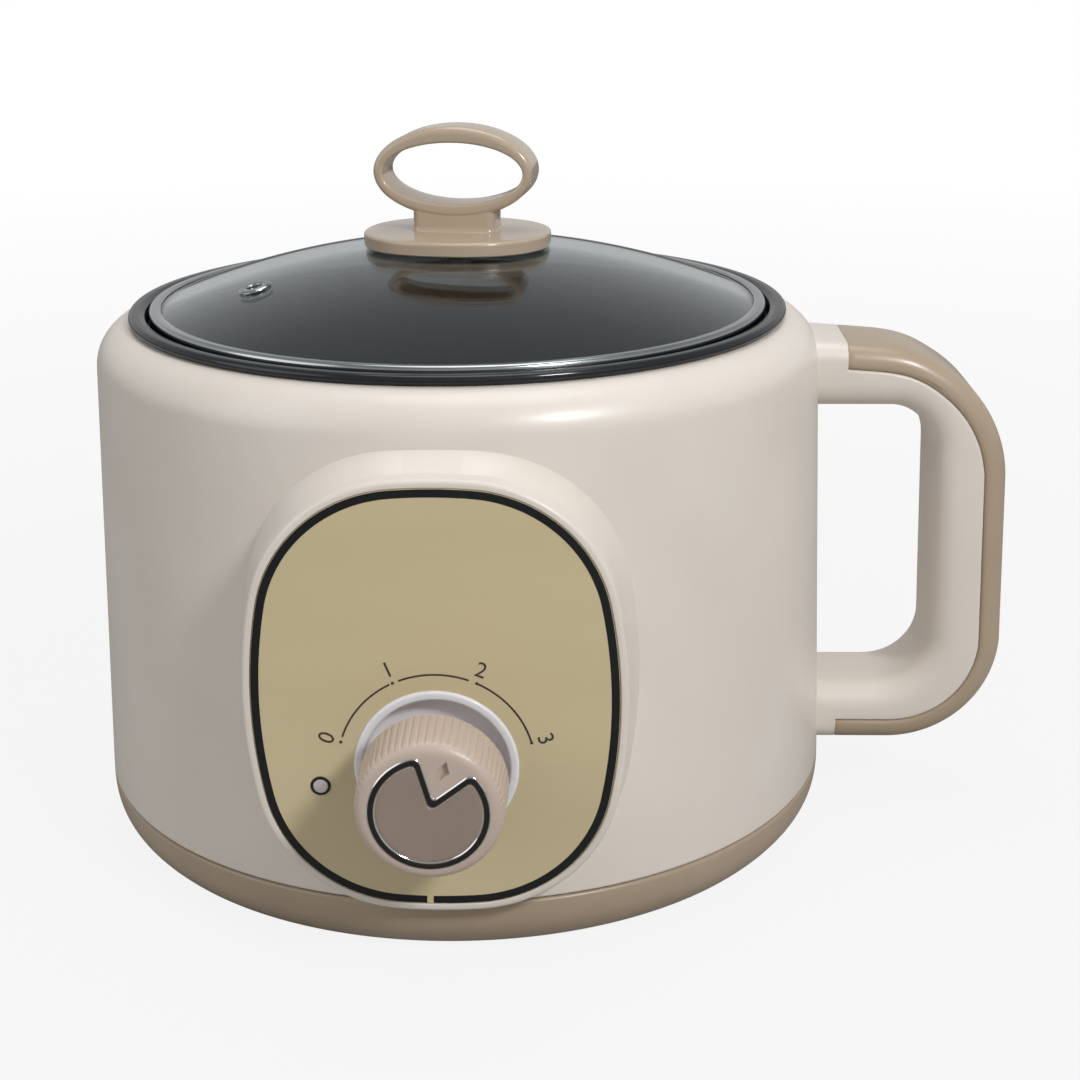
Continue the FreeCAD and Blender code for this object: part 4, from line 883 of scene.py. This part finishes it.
ringSizes = {"radius": 15.25, "width": 2.3, "face": 25.8, "proud": 0.5, "corner": 2.2, "apex": 4.1, "half": 34.2,
             "tip": 0.7, "sunk": 0.12, "foot": 0.3, "eye": -5.0}


def notchedLine(inset):
    # A circle with a V cut: its corners on the rim and at the apex rounded, moved inwards by inset
    s = ringSizes
    half = math.radians(s["half"])
    radius = s["radius"] - inset
    apex = s["apex"] - inset / math.sin(half)
    tip = s["tip"] + 0.45 * inset
    corner = s["corner"] - inset * 0.6
    # The wall of the V leaves the apex at the half angle; the corner circle touches the wall and the rim
    wall = np.array([math.sin(half), math.cos(half)])
    normal = np.array([wall[1], -wall[0]])
    inner = radius - corner
    offset = np.array([0.0, apex]) + normal * corner
    b = offset @ wall
    along = -b + math.sqrt(b * b - (offset @ offset - inner ** 2))
    centre = offset + wall * along
    onRim = centre / np.linalg.norm(centre)
    fromAngle = math.atan2(-normal[1], -normal[0])
    toAngle = math.atan2(onRim[1], onRim[0])
    sweep = fromAngle + ((toAngle - fromAngle + math.pi) % fullTurn - math.pi) * np.linspace(0, 1, 14)
    corners = centre + corner * unitCircle(sweep)
    tipCentre = np.array([0.0, apex + tip / math.sin(half)])
    tipSweep = np.linspace(-math.pi / 2, -math.pi / 2 + (math.pi / 2 - half), 7)
    tipArc = tipCentre + tip * unitCircle(tipSweep)
    first = tipArc[-1] + (corners[0] - tipArc[-1]) * np.linspace(0, 1, 10)[1:-1, None]
    rim = np.linspace(toAngle, -math.pi / 2, 90)[1:]
    arc = radius * unitCircle(rim)
    right = np.concatenate([tipArc, first, corners, arc])
    left = right[::-1][1:-1] * [-1, 1]
    return np.concatenate([right, left])


def brightRing():
    # A low half-round section carried round the notched outline
    s = ringSizes
    rings = []
    for share in np.linspace(0, 1, 13):
        line = notchedLine(0.05 + share * (s["width"] - 0.1))
        rise = (s["proud"] + s["sunk"]) * math.sin(math.pi * share) ** 0.7
        rings.append(lying(line, s["face"] - s["sunk"] + rise))
    low, last = (lying(rings[i], s["face"] - s["foot"]) for i in (0, -1))
    return toDial(dialTurned(joinedBack(np.stack([low, *rings, last]))))


def insertRings():
    # The notched disc shrunk towards a point below the middle, from where every edge point can be seen
    s = ringSizes
    line = notchedLine(s["width"] - 0.06)
    eye = np.array([0.0, s["eye"]])
    steps = ((1, -s["foot"]), (1, 0.02), (0.985, 0.12), (0.9, 0.13), (0.75, 0.11), (0.6, 0.09), (0.45, 0.075),
             (0.3, 0.065), (0.15, 0.06))
    rings = [lying(eye + (line - eye) * share, s["face"] + rise) for share, rise in steps]
    return toDial(dialTurned(capped(np.stack(rings))))


lampSizes = {"x": -29.8, "height": 54.0, "ring": 2.6, "lens": 1.9, "wall": 0.4, "proud": 0.4, "back": 5.5}


def lampRings():
    s = lampSizes
    outer = s["lens"] + s["wall"]
    ring = roundedLine([(s["lens"], -s["back"], 0), (s["lens"], s["proud"], 0.15), (s["ring"], s["proud"], 0.3),
                        (s["ring"], 0.02, 0), (outer, 0.02, 0), (outer, -s["back"], 0)], 5)
    return toDial(joinedBack(circleRings(ring, 48)), s["x"], s["height"])


def lensRings():
    s = lampSizes
    out = np.linspace(s["lens"] - 0.06, 0.2, 8)
    dome = np.stack([out, s["proud"] - 0.05 + 0.25 * (1 - (out / s["lens"]) ** 2)], -1)
    line = np.concatenate([[(s["lens"] - 0.06, -3.0)], dome])
    return toDial(capped(circleRings(line, 48)), s["x"], s["height"])


printSizes = {"arc": 25.0, "line": 0.5, "proud": 0.05, "spans": ((-71.6, -27.0), (-21.3, 20.0), (26.0, 74.0)),
              "dots": (-75.0, -25.0, 25.0, 75.0), "dot": 0.42,
              "numbers": (("0", -74.5), ("1", -24.0), ("2", 24.0), ("3", 74.5)), "numberArc": 28.2, "tall": 4.4,
              "lift": 0.3}


def arcLine(first, last):
    # A flat strip along an arc, angles clockwise from up: x = r sin a, y = r cos a
    s = printSizes
    angle = np.radians(np.linspace(first, last, 40))
    inner, outer = s["arc"] - s["line"] / 2, s["arc"] + s["line"] / 2
    rows = []
    for radius, level in ((inner, 0.0), (inner, s["proud"]), (outer, s["proud"]), (outer, 0.0)):
        rows.append(lying(np.stack([radius * np.sin(angle), radius * np.cos(angle) + s["lift"]], -1), level))
    return toDial(capped(np.stack(rows, 1)))


def dotRings(angle):
    s = printSizes
    a = math.radians(angle)
    ring = circleRings([(s["dot"], 0.0), (s["dot"], s["proud"])], 16)
    return toDial(capped(ring + [s["arc"] * math.sin(a), s["arc"] * math.cos(a) + s["lift"], 0]))


def numberMesh(text, angle):
    # A printed number: the font's outline made a mesh, turned with its place on the arc
    s = printSizes
    curve = bpy.data.curves.new("number" + text, "FONT")
    curve.body = text
    curve.size = s["tall"] * 1.35
    curve.align_x, curve.align_y = "CENTER", "CENTER"
    curve.extrude = s["proud"] / 2
    holder = bpy.data.objects.new("number" + text, curve)
    bpy.context.scene.collection.objects.link(holder)
    bpy.context.view_layer.update()
    mesh = bpy.data.meshes.new_from_object(holder.evaluated_get(bpy.context.evaluated_depsgraph_get()))
    bpy.data.objects.remove(holder)
    bpy.data.curves.remove(curve)
    points, corners = meshArrays(mesh)
    bpy.data.meshes.remove(mesh)
    points[:, :2] -= (points[:, :2].max(0) + points[:, :2].min(0)) / 2
    points[:, 2] += s["proud"] / 2
    a = math.radians(angle)
    c, t = math.cos(-a * 0.9), math.sin(-a * 0.9)
    reach = s["numberArc"] + s["tall"] * 0.15
    x = points[:, 0] * c - points[:, 1] * t + reach * math.sin(a)
    y = points[:, 0] * t + points[:, 1] * c + reach * math.cos(a) + s["lift"]
    return toDial(np.stack([x, y, points[:, 2]], -1)), corners


makePiece("panel", [panelRings()], "panelGold", "housing", ["control_panel"])
makePiece("panelBorder", [borderRings()], "borderInk", "housing")
makePiece("dialPrint", [arcLine(*span) for span in printSizes["spans"]] + [dotRings(a) for a in printSizes["dots"]],
          "printInk", "housing", extra=[numberMesh(*n) for n in printSizes["numbers"]])
makePiece("dialCup", [cupRings()], "whitePlastic", "housing", ["knob_cup"])
faceMesh = knobFace()
makePiece("dialKnob", [toDial(dialTurned(knobRings())), toDial(dialTurned(boreTop()))], "knobPlastic",
          "dial_knob", ["knob"], extra=[(toDial(dialTurned(faceMesh[0])), faceMesh[1])], sharp=32)
makePiece("dialRing", [brightRing()], "ringChromePaintedReflection", "dial_knob", ["knob_ring"])
makePiece("dialInsert", [insertRings()], "insertPlastic", "dial_knob", ["knob_insert"])
makePiece("lampRing", [lampRings()], "borderInk", "housing", ["lamp_ring"])
makePiece("lampLens", [lensRings()], "lensPlastic", "housing", ["lamp_lens"])
print("dial made")


# Inlet at the back: a flange with a socket

def inletRings():
    s = inletSizes
    mouth = s["plane"] + s["flange"]

    def ring(width, tall, radius, depth, grow=0.0):
        radius = np.asarray(radius) + grow / 2
        return standing(roundedBox(width + grow, tall + grow, radius, s["height"])[0], depth)

    flange = s["flangeWidth"], s["flangeTall"], s["flangeRound"]
    socket = s["socketWidth"], s["socketTall"], [s["socketCut"]] * 2 + [s["socketRound"]] * 2
    body = s["bodyWidth"], s["bodyTall"], s["bodyRound"]
    edge, lead = s["edge"], s["lead"]
    rings = [ring(*flange, s["plane"])]
    rings += [ring(*flange, mouth - edge + edge * math.sin(a), -2 * edge * (1 - math.cos(a))) for a in quarter(5)]
    rings += [ring(*socket, mouth, 2 * lead), ring(*socket, mouth - lead), ring(*socket, mouth - s["socketDepth"])]
    back = [ring(*body, s["plane"]), ring(*body, mouth - s["bodyDepth"])]
    return np.concatenate([capped(np.stack(back))[::-1][:-1], capped(np.stack(rings))[1:]])


makePiece("inletSocket", [inletRings()], "darkPlastic", "housing", ["power_inlet"])
print("inlet made")


# Finishes for the solids that stay as they are

kept = {
    "footRubber": ["rubber_feet"], "castPlate": ["heater_plate"], "terminalSteel": ["heater_terminals"],
    "thermostatBody": ["thermostat"], "strapSteel": ["thermostat_clip", "pot_strap"],
    "screwSteel": ["base_screws", "handle_screws", "clip_screws", "strap_screws", "pot_studs", "stud_nuts",
                   "lid_screw", "switch_nut", "inlet_screws"],
    "fuseSleeve": ["thermal_fuse", "terminal_block"], "gasketRubber": ["lid_gasket"], "bandSteel": ["lid_washer"],
    "darkPlastic": ["switch_shaft", "rotary_switch"], "bulbGlass": ["neon_bulb"], "pinBrass": ["inlet_pins"],
    "leadSheath": ["inlet_leads", "switch_leads", "heater_leads"],
}
for finishName, names in kept.items():
    for name in names:
        materials = nodes[name].data.materials
        for i in range(len(materials)):
            materials[i] = finishes[finishName]
        if not materials:
            materials.append(finishes[finishName])
print("solids dressed:", sum(len(names) for names in kept.values()))


# Studio: pale floor and backdrop, soft lamps and the camera

studio = {"floor": (168, 167, 165), "reach": 6.0, "world": 0.33, "seenInGloss": (0.36, 0.08),
          "glossFall": (0.15, 0.65), "seenWhite": 0.88, "whiteFrom": (0.2, 1.4), "aim": (0, 0, 0.08),
          "lamps": [((0.62, -0.80, 0.82), 0.22, 7.4), ((-0.95, -0.50, 0.50), 0.9, 2.2),
                    ((0.05, 0.12, 1.25), 0.8, 4.2)]}


def combined(tree, operation, first, second):
    return added(tree, "Math", {0: first, 1: second}, operation=operation).outputs[0]


def floorFinish():
    # Pale and matt; the camera sees it nearly white near the pot, with the soft shadow, and white far away
    finish, tree, shader = newFinish("studioFloor")
    fill(shader, {"Base Color": linear(studio["floor"]), "Roughness": 0.9})
    place = added(tree, "TexCoord").outputs["Object"]
    away = added(tree, "VectorMath", {0: place}, operation="LENGTH").outputs["Value"]
    seen = ranged(tree, away, studio["seenWhite"], 1.0, *studio["whiteFrom"])
    share = combined(tree, "MULTIPLY", seen, added(tree, "LightPath").outputs["Is Camera Ray"])
    white = added(tree, "Emission").outputs[0]
    mix = added(tree, "MixShader", {0: share, 1: shader.outputs[0], 2: white}).outputs[0]
    fill(tree.nodes["Material Output"], {"Surface": mix})
    return finish


def makeFloor():
    corners = np.array([(-1, -1, 0), (1, -1, 0), (1, 1, 0), (-1, 1, 0)]) * studio["reach"]
    mesh = bpy.data.meshes.new("floor")
    mesh.from_pydata(corners.tolist(), [], [(0, 1, 2, 3)])
    mesh.materials.append(floorFinish())
    plane = bpy.data.objects.new("floor", mesh)
    bpy.context.scene.collection.objects.link(plane)


def makeWorld():
    # White for the camera; in gloss and through glass a share of it that falls off upwards; and a plain light
    world = bpy.data.worlds.new("studioWorld")
    world.use_nodes = True
    bpy.context.scene.world = world
    tree = world.node_tree
    light = tree.nodes["Background"]
    fill(light, {"Color": (1, 1, 1, 1), "Strength": studio["world"]})
    seen = added(tree, "Background", {"Color": (1, 1, 1, 1)}).outputs[0]
    path = added(tree, "LightPath").outputs
    level = ranged(tree, along(tree, "Z", "Generated"), *studio["seenInGloss"], *studio["glossFall"])
    bent = combined(tree, "MAXIMUM", path["Is Glossy Ray"], path["Is Transmission Ray"])
    share = combined(tree, "MAXIMUM", path["Is Camera Ray"], combined(tree, "MULTIPLY", bent, level))
    mix = added(tree, "MixShader", {0: share, 1: light.outputs[0], 2: seen}).outputs[0]
    fill(tree.nodes["World Output"], {"Surface": mix})


def makeLamps():
    for i, (place, size, power) in enumerate(studio["lamps"]):
        lamp = bpy.data.lights.new("lamp" + str(i), "AREA")
        lamp.shape = "DISK"
        lamp.size = size
        lamp.energy = power
        holder = bpy.data.objects.new("lamp" + str(i), lamp)
        holder.location = place
        holder.rotation_euler = (Vector(studio["aim"]) - Vector(place)).to_track_quat("-Z", "Y").to_euler()
        bpy.context.scene.collection.objects.link(holder)


cameraView = {"azimuth": 4.0, "elevation": 19.49, "distance": 0.576, "target": (0.0, 0.0, 0.0745),
              "aim": (463.99, 557.14), "roll": -0.02064, "lens": 61.85, "frameSize": 1080}


def makeCamera():
    # Stands at the photograph's angle; the target falls on the aim pixel, and the roll leans the picture
    s = cameraView
    el, az = math.radians(s["elevation"]), math.radians(s["azimuth"])
    back = Vector((0, -math.cos(el), math.sin(el)))
    place = Vector(s["target"]) + Matrix.Rotation(az, 3, "Z") @ back * s["distance"]
    pixels = s["lens"] / 36 * s["frameSize"]
    yaw = math.atan((s["aim"][0] - s["frameSize"] / 2) / pixels)
    pitch = math.atan((s["aim"][1] - s["frameSize"] / 2) / pixels)
    ahead, right = -back, Vector((1, 0, 0))
    up = right.cross(ahead)
    turn = Matrix.Rotation(yaw, 3, up)
    ahead, right = turn @ ahead, turn @ right
    turn = Matrix.Rotation(pitch, 3, right)
    ahead, up = turn @ ahead, turn @ up
    c, t = math.cos(s["roll"]), math.sin(s["roll"])
    right, up = right * c + up * t, up * c - right * t
    axes = Matrix.Rotation(az, 3, "Z") @ Matrix((right, up, -ahead)).transposed()
    camera = bpy.data.cameras.new("camera")
    camera.lens = s["lens"]
    camera.sensor_width = 36
    camera.clip_start = 0.02
    holder = bpy.data.objects.new("camera", camera)
    holder.matrix_world = Matrix.Translation(place) @ axes.to_4x4()
    bpy.context.scene.collection.objects.link(holder)
    bpy.context.scene.camera = holder


makeFloor()
makeWorld()
makeLamps()
makeCamera()
bpy.context.scene.view_settings.view_transform = "Standard"
